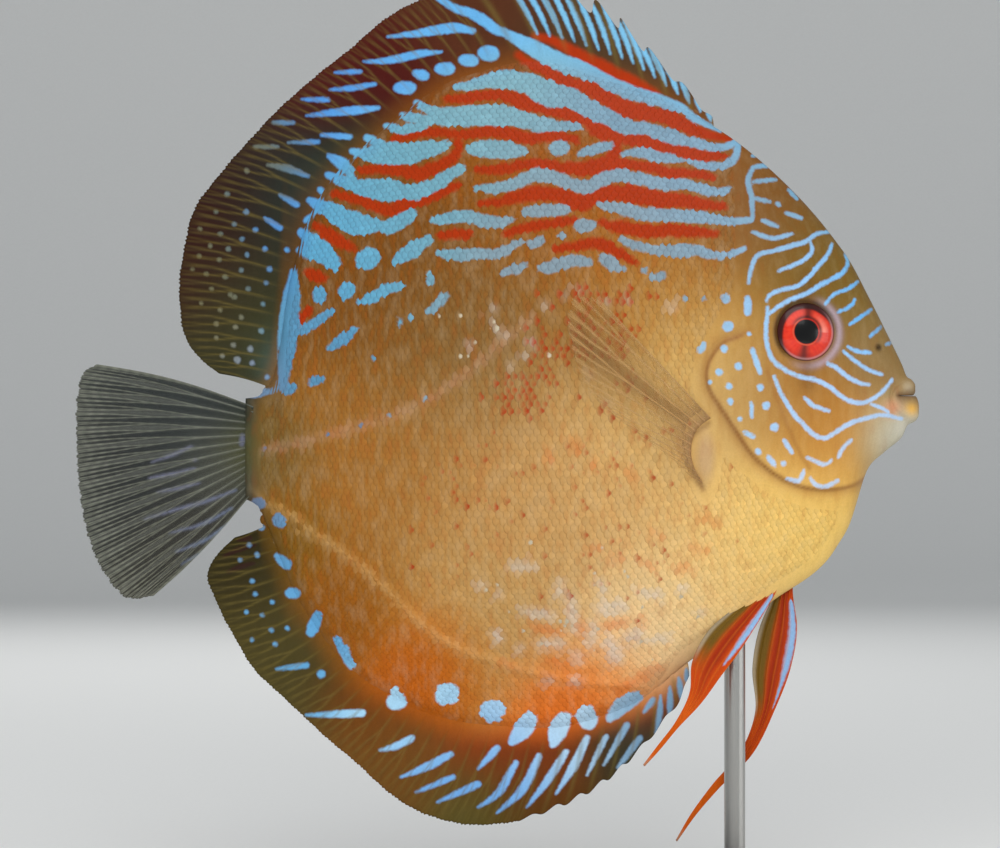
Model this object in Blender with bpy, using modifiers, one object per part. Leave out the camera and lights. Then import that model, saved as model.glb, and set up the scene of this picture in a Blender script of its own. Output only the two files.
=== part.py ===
"""A life-size discus fish (Symphysodon) swimming to +X, held over a flat base by one rod.

Metres, +Z up. The fish's middle plane is y = 0, its right flank faces -Y, and z = 0 is the
underside of the base. Places on the fish are written in millimetres from FISH_CENTRE.
"""

import bmesh
import bpy
import numpy as np

MM = 0.001
GAP = 0.3

# The fish, in millimetres.
TOTAL_LENGTH = 160.0
STANDARD_LENGTH = 127.5
SNOUT_X = 79.2
WALL_REACH = 20.0
TAIL_ROOT_X = SNOUT_X - STANDARD_LENGTH
TAIL_TIP_X = SNOUT_X - TOTAL_LENGTH
HEAD_END_X = 77.4
FIN_RIM = 0.6
BODY_RINGS = 46
BODY_ROWS = 19
EYE_PLACE = (57.4, 17.1)
EYE_RADIUS = 5.6
EYE_DEPTH = 4.3
EYE_BULGE = 1.5
NOSTRIL_PLACE = (70.6, 15.6)
NOSTRIL_RADIUS = 0.7
# Each lip: the height of its corner, its front (x, z), and its radius at the front.
UPPER_LIP = (5.9, (77.3, 6.7), 1.5)
LOWER_LIP = (4.7, (77.8, 3.0), 1.75)
MOUTH_CORNER = (73.6, 3.7)
LIP_CORNER_RADIUS = 0.8
MOUTH_LINE_CENTRE = (77.8, 0.0, 5.1)
MOUTH_LINE_RADII = (4.6, 5.2, 0.3)

# The stand, in millimetres.
BASE_LENGTH = 112.0
BASE_WIDTH = 62.0
BASE_THICKNESS = 8.0
BASE_CENTRE_X = 14.0
BASE_CORNER = 12.0
BASE_EDGE = 1.2
ROD_RADIUS = 2.0
ROD_X = 44.6
ROD_DEPTH = 6.0
COLLAR_RADIUS = 5.0
COLLAR_HEIGHT = 3.5
LOWEST_TIP = -80.2
TIP_CLEARANCE = 5.0
FISH_CENTRE = (
    -(SNOUT_X + TAIL_TIP_X) / 2,
    BASE_THICKNESS + TIP_CLEARANCE - LOWEST_TIP,
)

# Landmarks of the body's edge from the tail stalk to the mouth: x, z. Fins grow from this edge.
BACK_EDGE = [
    (-48.4, 4.9), (-46.0, 5.3), (-43.8, 7.6), (-42.2, 12.6), (-40.1, 26.4), (-35.7, 41.0),
    (-22.8, 56.2), (-5.7, 67.2), (6.0, 69.6), (22.8, 65.6), (41.4, 56.2), (52.3, 47.6),
    (65.6, 32.2), (73.8, 16.6), (76.0, 12.2), (77.4, 8.8),
]
BELLY_EDGE = [
    (-48.4, -14.3), (-46.2, -15.4), (-44.0, -20.0), (-38.4, -33.4), (-24.3, -50.4),
    (-5.0, -57.8), (8.0, -58.5), (24.0, -54.2), (36.1, -45.2), (52.3, -33.4), (61.8, -26.4),
    (67.4, -16.4), (70.2, -8.0), (74.4, -4.3), (77.4, -1.2),
]
# Height of the widest point, half the width there, and how sharp the back and belly keels are.
WIDEST_HEIGHT = [
    (-48.4, -4.8), (-38.0, -2.0), (-20.0, 3.0), (5.0, 7.0), (35.0, 9.0), (56.0, 7.0),
    (70.0, 5.0), (77.4, 4.0),
]
HALF_WIDTH = [
    (-48.4, 1.9), (-44.0, 2.7), (-36.0, 4.9), (-20.0, 8.0), (0.0, 10.8), (22.0, 12.6),
    (40.0, 13.0), (54.0, 11.4), (65.0, 8.2), (72.0, 5.3), (77.4, 2.5),
]
BACK_KEEL = [(-48.4, 0.55), (-40.0, 0.9), (-20.0, 1.15), (30.0, 1.1), (50.0, 0.85), (77.4, 0.6)]
BELLY_KEEL = [(-48.4, 0.55), (-40.0, 0.9), (-20.0, 1.15), (25.0, 1.05), (45.0, 0.75), (77.4, 0.6)]

# Where the head and the tail stalk meet the trunk: x, z.
GILL_LINE = [
    (44.5, 60.0), (46.2, 52.0), (47.1, 40.0), (46.6, 28.0), (43.4, 18.0), (39.9, 10.0),
    (39.8, 7.0), (42.4, 1.2), (47.0, -5.4), (52.6, -9.8), (58.5, -12.2), (64.5, -12.6),
    (70.0, -10.4), (75.0, -7.8),
]
STALK_LINE = [
    (-47.5, 10.5), (-42.9, 5.0), (-39.6, -0.4), (-38.6, -4.6), (-39.6, -9.6), (-42.8, -14.4),
    (-48.6, -20.4),
]
# The gill cover's front and rear edges, from top to bottom.
COVER_FRONT = [(46.4, 17.4), (48.4, 10.4), (51.4, 2.8), (54.6, -3.8), (58.2, -8.6)]
COVER_REAR = [(43.4, 16.6), (39.7, 9.6), (40.2, 4.6), (44.4, -3.4), (51.4, -9.4), (58.4, -11.8)]
COVER_THICKNESS = 0.6
COVER_LIFT = GAP + 0.05

# Fins: where the ray roots and the ray tips run, from the head end to the tail end.
DORSAL_ROOT = (41.2, -44.0)
DORSAL_TIPS = [
    (40.4, 58.4), (37.4, 62.0), (33.4, 66.4), (26.6, 73.4), (20.0, 79.8), (12.4, 83.0),
    (2.0, 85.2), (-9.5, 82.8), (-19.0, 79.0), (-29.4, 70.7), (-39.9, 62.0), (-47.5, 54.3),
    (-52.8, 48.2), (-57.9, 41.6), (-60.4, 33.0), (-61.2, 23.5), (-60.2, 16.8), (-57.0, 12.2),
    (-53.6, 9.6),
]
ANAL_ROOT = (36.1, -44.4)
ANAL_TIPS = [
    (36.0, -47.8), (34.4, -52.4), (31.4, -56.6), (27.2, -61.6), (19.6, -68.6), (10.4, -73.4),
    (0.0, -76.2), (-10.4, -75.6), (-19.0, -71.8), (-27.0, -64.8), (-34.2, -58.6),
    (-41.2, -52.0), (-46.4, -47.2), (-50.4, -41.0), (-53.8, -34.4), (-55.8, -28.4),
    (-54.2, -25.2), (-50.6, -21.6),
]
TAIL_TIPS = [
    (-76.8, 11.4), (-79.4, 9.8), (-80.5, 6.0), (-80.8, -3.0), (-80.2, -12.0), (-78.4, -21.0),
    (-75.2, -28.4), (-70.6, -33.2), (-66.0, -32.8),
]
PECTORAL_ROOTS = [(38.9, 1.1), (36.5, -0.8), (35.3, -4.0), (35.7, -7.8), (37.4, -11.0)]
PECTORAL_TIPS = [
    (18.4, 23.4), (13.7, 23.6), (12.5, 20.1), (12.9, 16.0), (13.9, 11.8), (15.6, 7.6),
    (18.2, 4.2), (22.4, 0.6), (27.2, -2.9), (32.3, -6.8), (35.4, -9.8),
]
# Each pelvic fin lies between its leading and its trailing edge, from the root to the tip.
PELVIC_LEAD_RIGHT = [
    (52.8, -31.2), (48.8, -37.6), (44.8, -43.6), (42.0, -47.2), (37.8, -52.8), (33.4, -57.4),
    (30.0, -61.4), (27.2, -64.4),
]
PELVIC_TRAIL_RIGHT = [
    (50.6, -30.2), (44.0, -35.0), (39.0, -39.6), (36.2, -45.2), (35.8, -50.4), (33.0, -56.2),
    (29.6, -60.6), (26.9, -64.1),
]
PELVIC_LEAD_LEFT = [
    (55.4, -31.6), (56.6, -38.6), (55.4, -46.8), (52.6, -54.4), (48.4, -63.0), (41.6, -70.2),
    (37.4, -75.2), (34.0, -80.1),
]
PELVIC_TRAIL_LEFT = [
    (52.6, -31.6), (49.4, -39.2), (48.2, -46.6), (48.8, -55.0), (46.2, -62.4), (40.6, -69.2),
    (36.6, -74.8), (33.7, -79.9),
]
PELVIC_SPREAD = 6.5

# The share of the fin's run that spines hold, the spines, and the soft rays behind them.
DORSAL_COUNTS = (0.36, 10, 31)
ANAL_COUNTS = (0.30, 9, 29)
TAIL_RAYS = 16
PECTORAL_RAYS = 12
PELVIC_RAYS = 6
# Half the thickness of a ray at its root and of the membrane at the fin's edge.
RAY_ROOT_HALF = FIN_RIM - 0.05
MEMBRANE_HALF = 0.26
# How far the membrane stops short of the ray tips, as a share of the ray.
SPINE_NOTCH = 0.11
RAY_NOTCH = 0.02
SOFT_EDGE = 0.985
FIN_SEAM = 0.0012
FIN_BOW = 0.035

# Colour, roughness and metallic value of each material.
FINISHES = {
    "scaled_skin": ((0.72, 0.36, 0.08), 0.4, 0.0),
    "face_skin": ((0.66, 0.32, 0.09), 0.38, 0.0),
    "striped_fin": ((0.40, 0.16, 0.06), 0.42, 0.0),
    "clear_fin": ((0.36, 0.34, 0.26), 0.35, 0.0),
    "red_fin": ((0.78, 0.20, 0.04), 0.4, 0.0),
    "red_eye": ((0.72, 0.06, 0.03), 0.12, 0.0),
    "stained_wood": ((0.10, 0.07, 0.05), 0.45, 0.0),
    "steel": ((0.62, 0.62, 0.63), 0.3, 1.0),
}


def smooth(at, landmarks):
    """Height at each x in at, on the monotone cubic curve through the landmarks."""
    px, pz = np.array(landmarks, float).T
    step = np.diff(px)
    rise = np.diff(pz) / step
    slope = np.zeros(len(px))
    slope[0], slope[-1] = rise[0], rise[-1]
    before, after = rise[:-1], rise[1:]
    same_way = before * after > 0
    wide = 2 * step[1:] + step[:-1]
    near = step[1:] + 2 * step[:-1]
    safe_before = np.where(same_way, before, 1)
    safe_after = np.where(same_way, after, 1)
    slope[1:-1] = np.where(same_way, (wide + near) / (wide / safe_before + near / safe_after), 0)
    at = np.clip(np.asarray(at, float), px[0], px[-1])
    span = np.clip(np.searchsorted(px, at) - 1, 0, len(step) - 1)
    width = step[span]
    u = (at - px[span]) / width
    return (
        (1 + 2 * u) * (1 - u) ** 2 * pz[span]
        + u * (1 - u) ** 2 * width * slope[span]
        + u * u * (3 - 2 * u) * pz[span + 1]
        - u * u * (1 - u) * width * slope[span + 1]
    )


def along(points, shares):
    """Places at these shares of the length of a smooth curve through the points."""
    points = np.array(points, float)
    lengths = np.concatenate([[0], np.cumsum(np.linalg.norm(np.diff(points, axis=0), axis=1))])
    at = np.asarray(shares, float) * lengths[-1]
    tangents = np.gradient(points, lengths, axis=0)
    span = np.clip(np.searchsorted(lengths, at) - 1, 0, len(points) - 2)
    width = lengths[span + 1] - lengths[span]
    u = ((at - lengths[span]) / width)[..., None]
    width = width[..., None]
    return (
        (1 + 2 * u) * (1 - u) ** 2 * points[span]
        + u * (1 - u) ** 2 * width * tangents[span]
        + u * u * (3 - 2 * u) * points[span + 1]
        - u * u * (1 - u) * width * tangents[span + 1]
    )


def flank(x, z):
    """Half the body's thickness at a place on its side."""
    middle = smooth(x, WIDEST_HEIGHT)
    above = z >= middle
    edge = np.where(above, smooth(x, BACK_EDGE), smooth(x, BELLY_EDGE))
    keel = np.where(above, smooth(x, BACK_KEEL), smooth(x, BELLY_KEEL))
    height = np.clip((z - middle) / (edge - middle), 0, 1)
    return FIN_RIM + (smooth(x, HALF_WIDTH) - FIN_RIM) * (1 - height**2) ** keel


def object_of(name, points, faces, finish):
    """A mesh object from points in millimetres on the fish, with its material."""
    mesh = bpy.data.meshes.new(name)
    placed = np.array(points, float) + (FISH_CENTRE[0], 0, FISH_CENTRE[1])
    mesh.from_pydata((placed * MM).tolist(), [], faces)
    mesh.validate()
    made = bpy.data.objects.new(name, mesh)
    FISH.objects.link(made)
    mesh.materials.append(finish_of(finish))
    return made


def finish_of(name):
    """The material of that name, made the first time it is asked for."""
    if name in bpy.data.materials:
        return bpy.data.materials[name]
    colour, roughness, metallic = FINISHES[name]
    material = bpy.data.materials.new(name)
    material.use_nodes = True
    shader = material.node_tree.nodes["Principled BSDF"]
    shader.inputs["Base Color"].default_value = (*colour, 1)
    shader.inputs["Roughness"].default_value = roughness
    shader.inputs["Metallic"].default_value = metallic
    return material


def body_stations():
    """The x of each ring of the body, closer together where its edge is steep."""
    dense = np.linspace(TAIL_ROOT_X, HEAD_END_X, 2000)
    back = np.abs(np.gradient(smooth(dense, BACK_EDGE), dense))
    belly = np.abs(np.gradient(smooth(dense, BELLY_EDGE), dense))
    run = np.cumsum(np.hypot(1, np.maximum(back, belly)))
    return np.interp(np.linspace(run[0], run[-1], BODY_RINGS), run, dense)


def body_loft(name, finish, grow=0.0):
    """The whole body as rings across x, each running up the right flank and down the left.

    grow moves its surface outwards, for the cutters that keep the gap round the body.
    """
    height = -np.cos(np.linspace(0, np.pi, BODY_ROWS))
    rings = []
    for x in body_stations():
        middle = smooth(x, WIDEST_HEIGHT)
        up, down = smooth(x, BACK_EDGE) - middle, middle - smooth(x, BELLY_EDGE)
        z = middle + np.where(height > 0, height * up, height * down)
        y = flank(np.full(BODY_ROWS, x), z) + grow
        z = z + height * grow
        right = np.stack([np.full(BODY_ROWS, x), -y, z], axis=1)
        left = (right * (1, -1, 1))[::-1]
        rings.append(np.concatenate([right, left]))
    rings[0] = rings[0] - (grow, 0, 0)
    rings[-1] = rings[-1] + (grow, 0, 0)
    around = 2 * BODY_ROWS
    faces = []
    for i in range(BODY_RINGS - 1):
        for j in range(around):
            a, b = i * around + j, i * around + (j + 1) % around
            faces.append((a, a + around, b + around, b))
    faces.append(tuple(range(around)))
    last = (BODY_RINGS - 1) * around
    faces.append(tuple(range(last + around - 1, last - 1, -1)))
    made = object_of(name, np.concatenate(rings), faces, finish)
    face_out(made)
    return made


def sheet_solid(name, middle, half, finish):
    """A thin solid from a grid of middle points, each with half its thickness, along y.

    Both faces are split along the same diagonals, so they never cross.
    """
    columns, rows = half.shape
    out = np.stack([np.zeros_like(half), half, np.zeros_like(half)], axis=-1)
    points = np.concatenate([(middle - out).reshape(-1, 3), (middle + out).reshape(-1, 3)])
    count = columns * rows
    faces = []
    for i in range(columns - 1):
        for j in range(rows - 1):
            a = i * rows + j
            b, c, d = a + rows, a + rows + 1, a + 1
            for triangle in ((a, b, c), (a, c, d)):
                faces.append(triangle)
                faces.append(tuple(count + k for k in reversed(triangle)))
    edge = [i * rows for i in range(columns)]
    edge += [(columns - 1) * rows + j for j in range(1, rows)]
    edge += [i * rows + rows - 1 for i in range(columns - 2, -1, -1)]
    edge += [j for j in range(rows - 2, 0, -1)]
    for a, b in zip(edge, edge[1:] + edge[:1]):
        faces.append((b, a, count + a))
        faces.append((b, count + a, count + b))
    made = object_of(name, points, faces, finish)
    face_out(made)
    return made


def face_out(made):
    """Turns a closed mesh's faces outwards."""
    shape = bmesh.new()
    shape.from_mesh(made.data)
    bmesh.ops.recalc_face_normals(shape, faces=shape.faces)
    shape.to_mesh(made.data)
    shape.free()


def ray_columns(rays):
    """Shares across a fin: one column on each ray and one between each two, and which are rays."""
    shares = np.linspace(0, 1, 2 * rays - 1)
    return shares, np.arange(2 * rays - 1) % 2 == 0


def edge_run(edge, ends, shares):
    """Places GAP outside the body's edge between two x, spaced evenly along it, and its normals."""
    stations = body_stations()
    inner = stations[(stations > min(ends)) & (stations < max(ends))]
    corners = np.concatenate([[max(ends)], inner[::-1], [min(ends)]])
    heights = np.interp(corners, stations, smooth(stations, edge))
    line = np.stack([corners, heights], axis=1)
    lengths = np.concatenate([[0], np.cumsum(np.linalg.norm(np.diff(line, axis=0), axis=1))])
    at = np.asarray(shares) * lengths[-1]
    place = np.stack([np.interp(at, lengths, line[:, k]) for k in (0, 1)], axis=1)
    tangent = np.gradient(place, axis=0)
    tangent /= np.linalg.norm(tangent, axis=1, keepdims=True)
    outward = np.stack([-tangent[:, 1], tangent[:, 0]], axis=1)
    if outward[len(outward) // 2] @ (0, place[len(place) // 2][1]) < 0:
        outward = -outward
    return place + GAP * outward


def median_fin(name, edge, ends, tips, part, rays, notch, sway):
    """A fin on the middle plane: part is its share of the whole run, notch how far the
    membrane stops short between two rays, and sway how far it leans along y at its edge."""
    shares, on_ray = ray_columns(rays)
    run = part[0] + shares * (part[1] - part[0])
    root = edge_run(edge, ends, run)
    tip = along(tips, run)
    out = np.linspace(0, 1, 7)[None, :] * np.where(on_ray, 1.0, 1.0 - notch)[:, None]
    across = tip - root
    backward = np.stack([across[:, 1], -across[:, 0]], axis=1) * np.sign(tip[0, 1])
    place = root[:, None, :] + out[..., None] * across[:, None, :]
    place += (FIN_BOW * np.sin(np.pi * out))[..., None] * backward[:, None, :]
    lean = sway * out**2 * np.sin(run * 2.2 * np.pi + 0.6)[:, None]
    middle = np.stack([place[..., 0], lean, place[..., 1]], axis=-1)
    ridge = RAY_ROOT_HALF - 0.24 * out
    membrane = np.maximum(0.42 - 0.5 * out, MEMBRANE_HALF)
    half = np.where(on_ray[:, None], ridge, membrane)
    return sheet_solid(name, middle, half, "striped_fin")


def tail_fin():
    """The caudal fin: a fan of rays from the flat end of the tail stalk, fleshy at its root."""
    shares, on_ray = ray_columns(TAIL_RAYS)
    top = smooth(TAIL_ROOT_X, BACK_EDGE) - FIN_RIM
    bottom = smooth(TAIL_ROOT_X, BELLY_EDGE) + FIN_RIM
    root = np.stack([np.full_like(shares, TAIL_ROOT_X - GAP), top + shares * (bottom - top)], 1)
    tip = along(TAIL_TIPS, shares)
    out = np.linspace(0, 1, 8)[None, :] * np.where(on_ray, 1.0, SOFT_EDGE)[:, None]
    place = root[:, None, :] + out[..., None] * (tip - root)[:, None, :]
    place[..., 1] += 2.2 * (np.sin(np.pi * out) * (0.5 - shares[:, None]))
    lean = 1.6 * out**2 * np.sin(shares * 2 * np.pi)[:, None]
    middle = np.stack([place[..., 0], lean, place[..., 1]], axis=-1)
    fleshy = np.exp(-out / 0.1)
    half = np.where(on_ray[:, None], 0.5 - 0.2 * out, 0.3 - 0.04 * out) + fleshy
    return sheet_solid("caudal_fin", middle, half, "clear_fin")


def pectoral_fin(side, name):
    """A clear side fin that rises off the flank. side is -1 for the right fin, 1 for the left."""
    shares, on_ray = ray_columns(PECTORAL_RAYS)
    root = along(PECTORAL_ROOTS, shares)
    tip = along(PECTORAL_TIPS, shares)
    out = np.linspace(-0.08, 1, 9)[None, :] * np.where(on_ray, 1.0, SOFT_EDGE)[:, None]
    place = root[:, None, :] + out[..., None] * (tip - root)[:, None, :]
    x, z = place[..., 0], place[..., 1]
    lift = 0.4 + 5.6 * np.clip(out, 0, 1) + 12 * np.minimum(out, 0)
    fleshy = 0.9 * np.exp(-np.clip(out, 0, 1) / 0.09)
    half = np.where(on_ray[:, None], 0.42 - 0.12 * out, MEMBRANE_HALF) + fleshy
    middle = np.stack([x, side * (flank(x, z) + lift), z], axis=-1)
    return sheet_solid(name, middle, half, "clear_fin")


def pelvic_fin(side, name, lead, trail):
    """A belly fin that ends in a long filament, between its leading and trailing edges."""
    across, on_ray = ray_columns(PELVIC_RAYS)
    out = np.linspace(0, 1, 14)
    first, last = along(lead, out), along(trail, out)
    place = first[None] + across[:, None, None] * (last - first)[None]
    x, z = place[..., 0], place[..., 1]
    y = side * (1.6 + PELVIC_SPREAD * out**0.8)[None, :] + 0 * x
    narrow = np.clip(1.15 - out, 0.15, 1)[None, :]
    half = np.where(on_ray[:, None], 0.3 + 0.3 * narrow, MEMBRANE_HALF)
    return sheet_solid(name, np.stack([x, y, z], axis=-1), half, "red_fin")


def gill_cover(side, name):
    """A thin plate over the side of the head, lifted off it by the gap."""
    columns, rows = 6, 11
    v = np.linspace(0, 1, rows)
    front, rear = along(COVER_FRONT, v), along(COVER_REAR, v)
    u = np.linspace(0, 1, columns)[:, None, None]
    place = front[None] + u * (rear - front)[None]
    x, z = place[..., 0], place[..., 1]
    swell = COVER_THICKNESS * (0.5 + 0.5 * u[..., 0]) / 2 + 0 * x
    y = side * (flank(x, z) + COVER_LIFT + swell)
    return sheet_solid(name, np.stack([x, y, z], axis=-1), swell, "face_skin")


def place_of(x, y, z):
    """A place on the fish, in millimetres, as a world location in metres."""
    return ((x + FISH_CENTRE[0]) * MM, y * MM, (z + FISH_CENTRE[1]) * MM)


def ellipsoid(name, at, radii, finish, segments=18, rings=10):
    """An ellipsoid on the fish, with its scale in its mesh and its poles across the body."""
    bpy.ops.mesh.primitive_uv_sphere_add(
        segments=segments, ring_count=rings, radius=1, rotation=(np.pi / 2, 0, 0)
    )
    made = bpy.context.active_object
    bpy.ops.object.transform_apply(rotation=True)
    made.scale = [r * MM for r in radii]
    bpy.ops.object.transform_apply(scale=True)
    made.location = place_of(*at)
    bpy.ops.object.transform_apply(location=True)
    return filed(made, name, finish)


def cylinder(name, x, bottom, top, radius, finish, sides=32):
    """An upright cylinder between two world heights in millimetres."""
    bpy.ops.mesh.primitive_cylinder_add(
        vertices=sides, radius=radius * MM, depth=(top - bottom) * MM,
        location=((x + FISH_CENTRE[0]) * MM, 0, (top + bottom) / 2 * MM),
    )
    bpy.ops.object.transform_apply(location=True)
    return filed(bpy.context.active_object, name, finish)


def filed(made, name, finish):
    """Names a new object, gives it its material and moves it to the fish's collection."""
    made.name = made.data.name = name
    made.data.materials.append(finish_of(finish))
    for collection in made.users_collection:
        collection.objects.unlink(made)
    FISH.objects.link(made)
    return made


def as_mesh(curve_object, finish):
    """A curve made a mesh in its place, with its caps welded to its sides."""
    graph = bpy.context.evaluated_depsgraph_get()
    mesh = bpy.data.meshes.new_from_object(curve_object.evaluated_get(graph))
    mesh.transform(curve_object.matrix_world)
    shape = bmesh.new()
    shape.from_mesh(mesh)
    bmesh.ops.remove_doubles(shape, verts=shape.verts, dist=0.00001)
    bmesh.ops.recalc_face_normals(shape, faces=shape.faces)
    shape.to_mesh(mesh)
    shape.free()
    name = curve_object.name
    bpy.data.objects.remove(curve_object)
    made = bpy.data.objects.new(name, mesh)
    FISH.objects.link(made)
    mesh.materials.clear()
    mesh.materials.append(finish_of(finish))
    return made


def lip(name, corner, front, thick, thin):
    """A lip as a tube from one mouth corner round the front to the other."""
    curve = bpy.data.curves.new(name, "CURVE")
    curve.dimensions = "3D"
    curve.bevel_depth = MM
    curve.bevel_resolution = 2
    curve.use_fill_caps = True
    spline = curve.splines.new("POLY")
    turn = np.linspace(-np.pi / 2, np.pi / 2, 13)
    spline.points.add(len(turn) - 1)
    for point, angle in zip(spline.points, turn):
        forward = np.cos(angle)
        x = corner[0] + (front[0] - corner[0]) * forward
        z = corner[2] + (front[1] - corner[2]) * forward**0.7
        point.co = (*place_of(x, corner[1] * np.sin(angle), z), 1)
        point.radius = thin + (thick - thin) * forward
    made = bpy.data.objects.new(name, curve)
    FISH.objects.link(made)
    bpy.context.view_layer.update()
    return as_mesh(made, "face_skin")


def wall_along(name, line):
    """A thin upright wall across the body along a line of its side, GAP thick."""
    curve = bpy.data.curves.new(name, "CURVE")
    curve.dimensions = "2D"
    curve.extrude = WALL_REACH * MM
    points = along(line, np.linspace(0, 1, 3 * len(line)))
    spline = curve.splines.new("POLY")
    spline.points.add(len(points) - 1)
    for point, (x, z) in zip(spline.points, points):
        point.co = (x * MM, z * MM, 0, 1)
    made = bpy.data.objects.new(name, curve)
    made.rotation_euler = (np.pi / 2, 0, 0)
    made.location = place_of(0, 0, 0)
    FISH.objects.link(made)
    bpy.context.view_layer.update()
    made = as_mesh(made, "scaled_skin")
    thicken = made.modifiers.new("thickness", "SOLIDIFY")
    thicken.thickness = GAP * MM
    thicken.offset = 0
    thicken.use_even_offset = True
    bake_modifiers(made)
    face_out(made)
    return made


def bake_modifiers(made):
    """Applies an object's modifiers to its mesh."""
    graph = bpy.context.evaluated_depsgraph_get()
    mesh = bpy.data.meshes.new_from_object(made.evaluated_get(graph))
    made.modifiers.clear()
    made.data = mesh


def boolean(target, other, operation):
    """Cuts or joins two mesh objects, applies the result to the first and drops the other."""
    change = target.modifiers.new(operation.lower(), "BOOLEAN")
    change.operation = operation
    change.solver = "EXACT"
    change.object = other
    bake_modifiers(target)
    bpy.data.objects.remove(other)


def keep_largest(made):
    """Drops every closed surface of a mesh but the largest, as a cut may leave scraps."""
    shape = bmesh.new()
    shape.from_mesh(made.data)
    groups = connected(shape)
    groups.sort(key=lambda group: -sum(face.calc_area() for face in group))
    for group in groups[1:]:
        bmesh.ops.delete(shape, geom=list(group), context="FACES")
    loose = [vertex for vertex in shape.verts if not vertex.link_faces]
    bmesh.ops.delete(shape, geom=loose, context="VERTS")
    shape.to_mesh(made.data)
    shape.free()


def connected(shape):
    """The faces of a bmesh in groups that hang together."""
    left, groups = set(shape.faces), []
    while left:
        group, waiting = set(), [left.pop()]
        while waiting:
            face = waiting.pop()
            group.add(face)
            for edge in face.edges:
                for near in edge.link_faces:
                    if near in left:
                        left.discard(near)
                        waiting.append(near)
        groups.append(group)
    return groups


def split_in(made, names):
    """Parts a cut body into objects, named in order from the tail to the snout."""
    shape = bmesh.new()
    shape.from_mesh(made.data)
    groups = connected(shape)
    groups.sort(key=lambda group: -sum(face.calc_area() for face in group))
    groups = groups[: len(names)]
    groups.sort(key=lambda group: max(v.co.x for face in group for v in face.verts))
    parts = []
    for name, group in zip(names, groups):
        mesh = bpy.data.meshes.new(name)
        part = shape.copy()
        keep = {face.index for face in group}
        part.faces.ensure_lookup_table()
        drop = [face for face in part.faces if face.index not in keep]
        bmesh.ops.delete(part, geom=drop, context="FACES")
        loose = [vertex for vertex in part.verts if not vertex.link_faces]
        bmesh.ops.delete(part, geom=loose, context="VERTS")
        part.to_mesh(mesh)
        part.free()
        piece = bpy.data.objects.new(name, mesh)
        FISH.objects.link(piece)
        finish = "face_skin" if name == "head" else "scaled_skin"
        mesh.materials.append(finish_of(finish))
        parts.append(piece)
    shape.free()
    bpy.data.objects.remove(made)
    return parts


def clear_of_body(made):
    """Cuts a fin or plate back so that it keeps the gap to the body."""
    boolean(made, body_loft("body_room", "scaled_skin", grow=GAP), "DIFFERENCE")
    keep_largest(made)


def build_body():
    """Head, trunk and tail stalk from one loft, with eye sockets, nostrils, lips and mouth."""
    body = body_loft("body", "scaled_skin")
    for name, (corner_z, front, radius) in (("upper_lip", UPPER_LIP), ("lower_lip", LOWER_LIP)):
        corner = (*MOUTH_CORNER, corner_z)
        boolean(body, lip(name, corner, front, radius, LIP_CORNER_RADIUS), "UNION")
    mouth = ellipsoid("mouth", MOUTH_LINE_CENTRE, MOUTH_LINE_RADII, "face_skin", 24, 8)
    boolean(body, mouth, "DIFFERENCE")
    eye_x, eye_z = EYE_PLACE
    eye_y = float(flank(np.array(eye_x), np.array(eye_z))) - EYE_DEPTH + EYE_BULGE
    nose_x, nose_z = NOSTRIL_PLACE
    nose_y = float(flank(np.array(nose_x), np.array(nose_z)))
    for side, word in ((-1, "right"), (1, "left")):
        radii = (EYE_RADIUS, EYE_DEPTH, EYE_RADIUS)
        ellipsoid(f"eye_{word}", (eye_x, side * eye_y, eye_z), radii, "red_eye")
        room = [r + GAP for r in radii]
        socket = ellipsoid("socket", (eye_x, side * eye_y, eye_z), room, "face_skin")
        boolean(body, socket, "DIFFERENCE")
        pit = ellipsoid(
            "nostril", (nose_x, side * nose_y, nose_z), [NOSTRIL_RADIUS] * 3, "face_skin", 10, 6
        )
        boolean(body, pit, "DIFFERENCE")
    belly = float(smooth(ROD_X, BELLY_EDGE)) + FISH_CENTRE[1]
    hole = cylinder(
        "rod_hole", ROD_X, belly - ROD_DEPTH, belly + ROD_DEPTH, ROD_RADIUS + GAP, "steel"
    )
    boolean(body, hole, "DIFFERENCE")
    for name, line in (("gill_cut", GILL_LINE), ("stalk_cut", STALK_LINE)):
        boolean(body, wall_along(name, line), "DIFFERENCE")
    for part in split_in(body, ("tail_stalk", "trunk", "head")):
        part.data.shade_smooth()
        part.data.set_sharp_from_angle(angle=0.7)


def build_fins():
    """All nine fins, with the two long ones parted where the spines end and soft rays begin."""
    for word, counts, edge, ends, tips, sway in (
        ("dorsal", DORSAL_COUNTS, BACK_EDGE, DORSAL_ROOT, DORSAL_TIPS, 1.2),
        ("anal", ANAL_COUNTS, BELLY_EDGE, ANAL_ROOT, ANAL_TIPS, 1.0),
    ):
        share, spines, rays = counts
        spiny, soft = (0, share - FIN_SEAM), (share + FIN_SEAM, 1)
        median_fin(f"{word}_spiny", edge, ends, tips, spiny, spines, SPINE_NOTCH, sway)
        median_fin(f"{word}_soft", edge, ends, tips, soft, rays, RAY_NOTCH, sway)
    tail_fin()
    for side, word in ((-1, "right"), (1, "left")):
        clear_of_body(pectoral_fin(side, f"pectoral_{word}"))
        gill_cover(side, f"gill_cover_{word}")
    clear_of_body(pelvic_fin(-1, "pelvic_right", PELVIC_LEAD_RIGHT, PELVIC_TRAIL_RIGHT))
    clear_of_body(pelvic_fin(1, "pelvic_left", PELVIC_LEAD_LEFT, PELVIC_TRAIL_LEFT))


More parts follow.
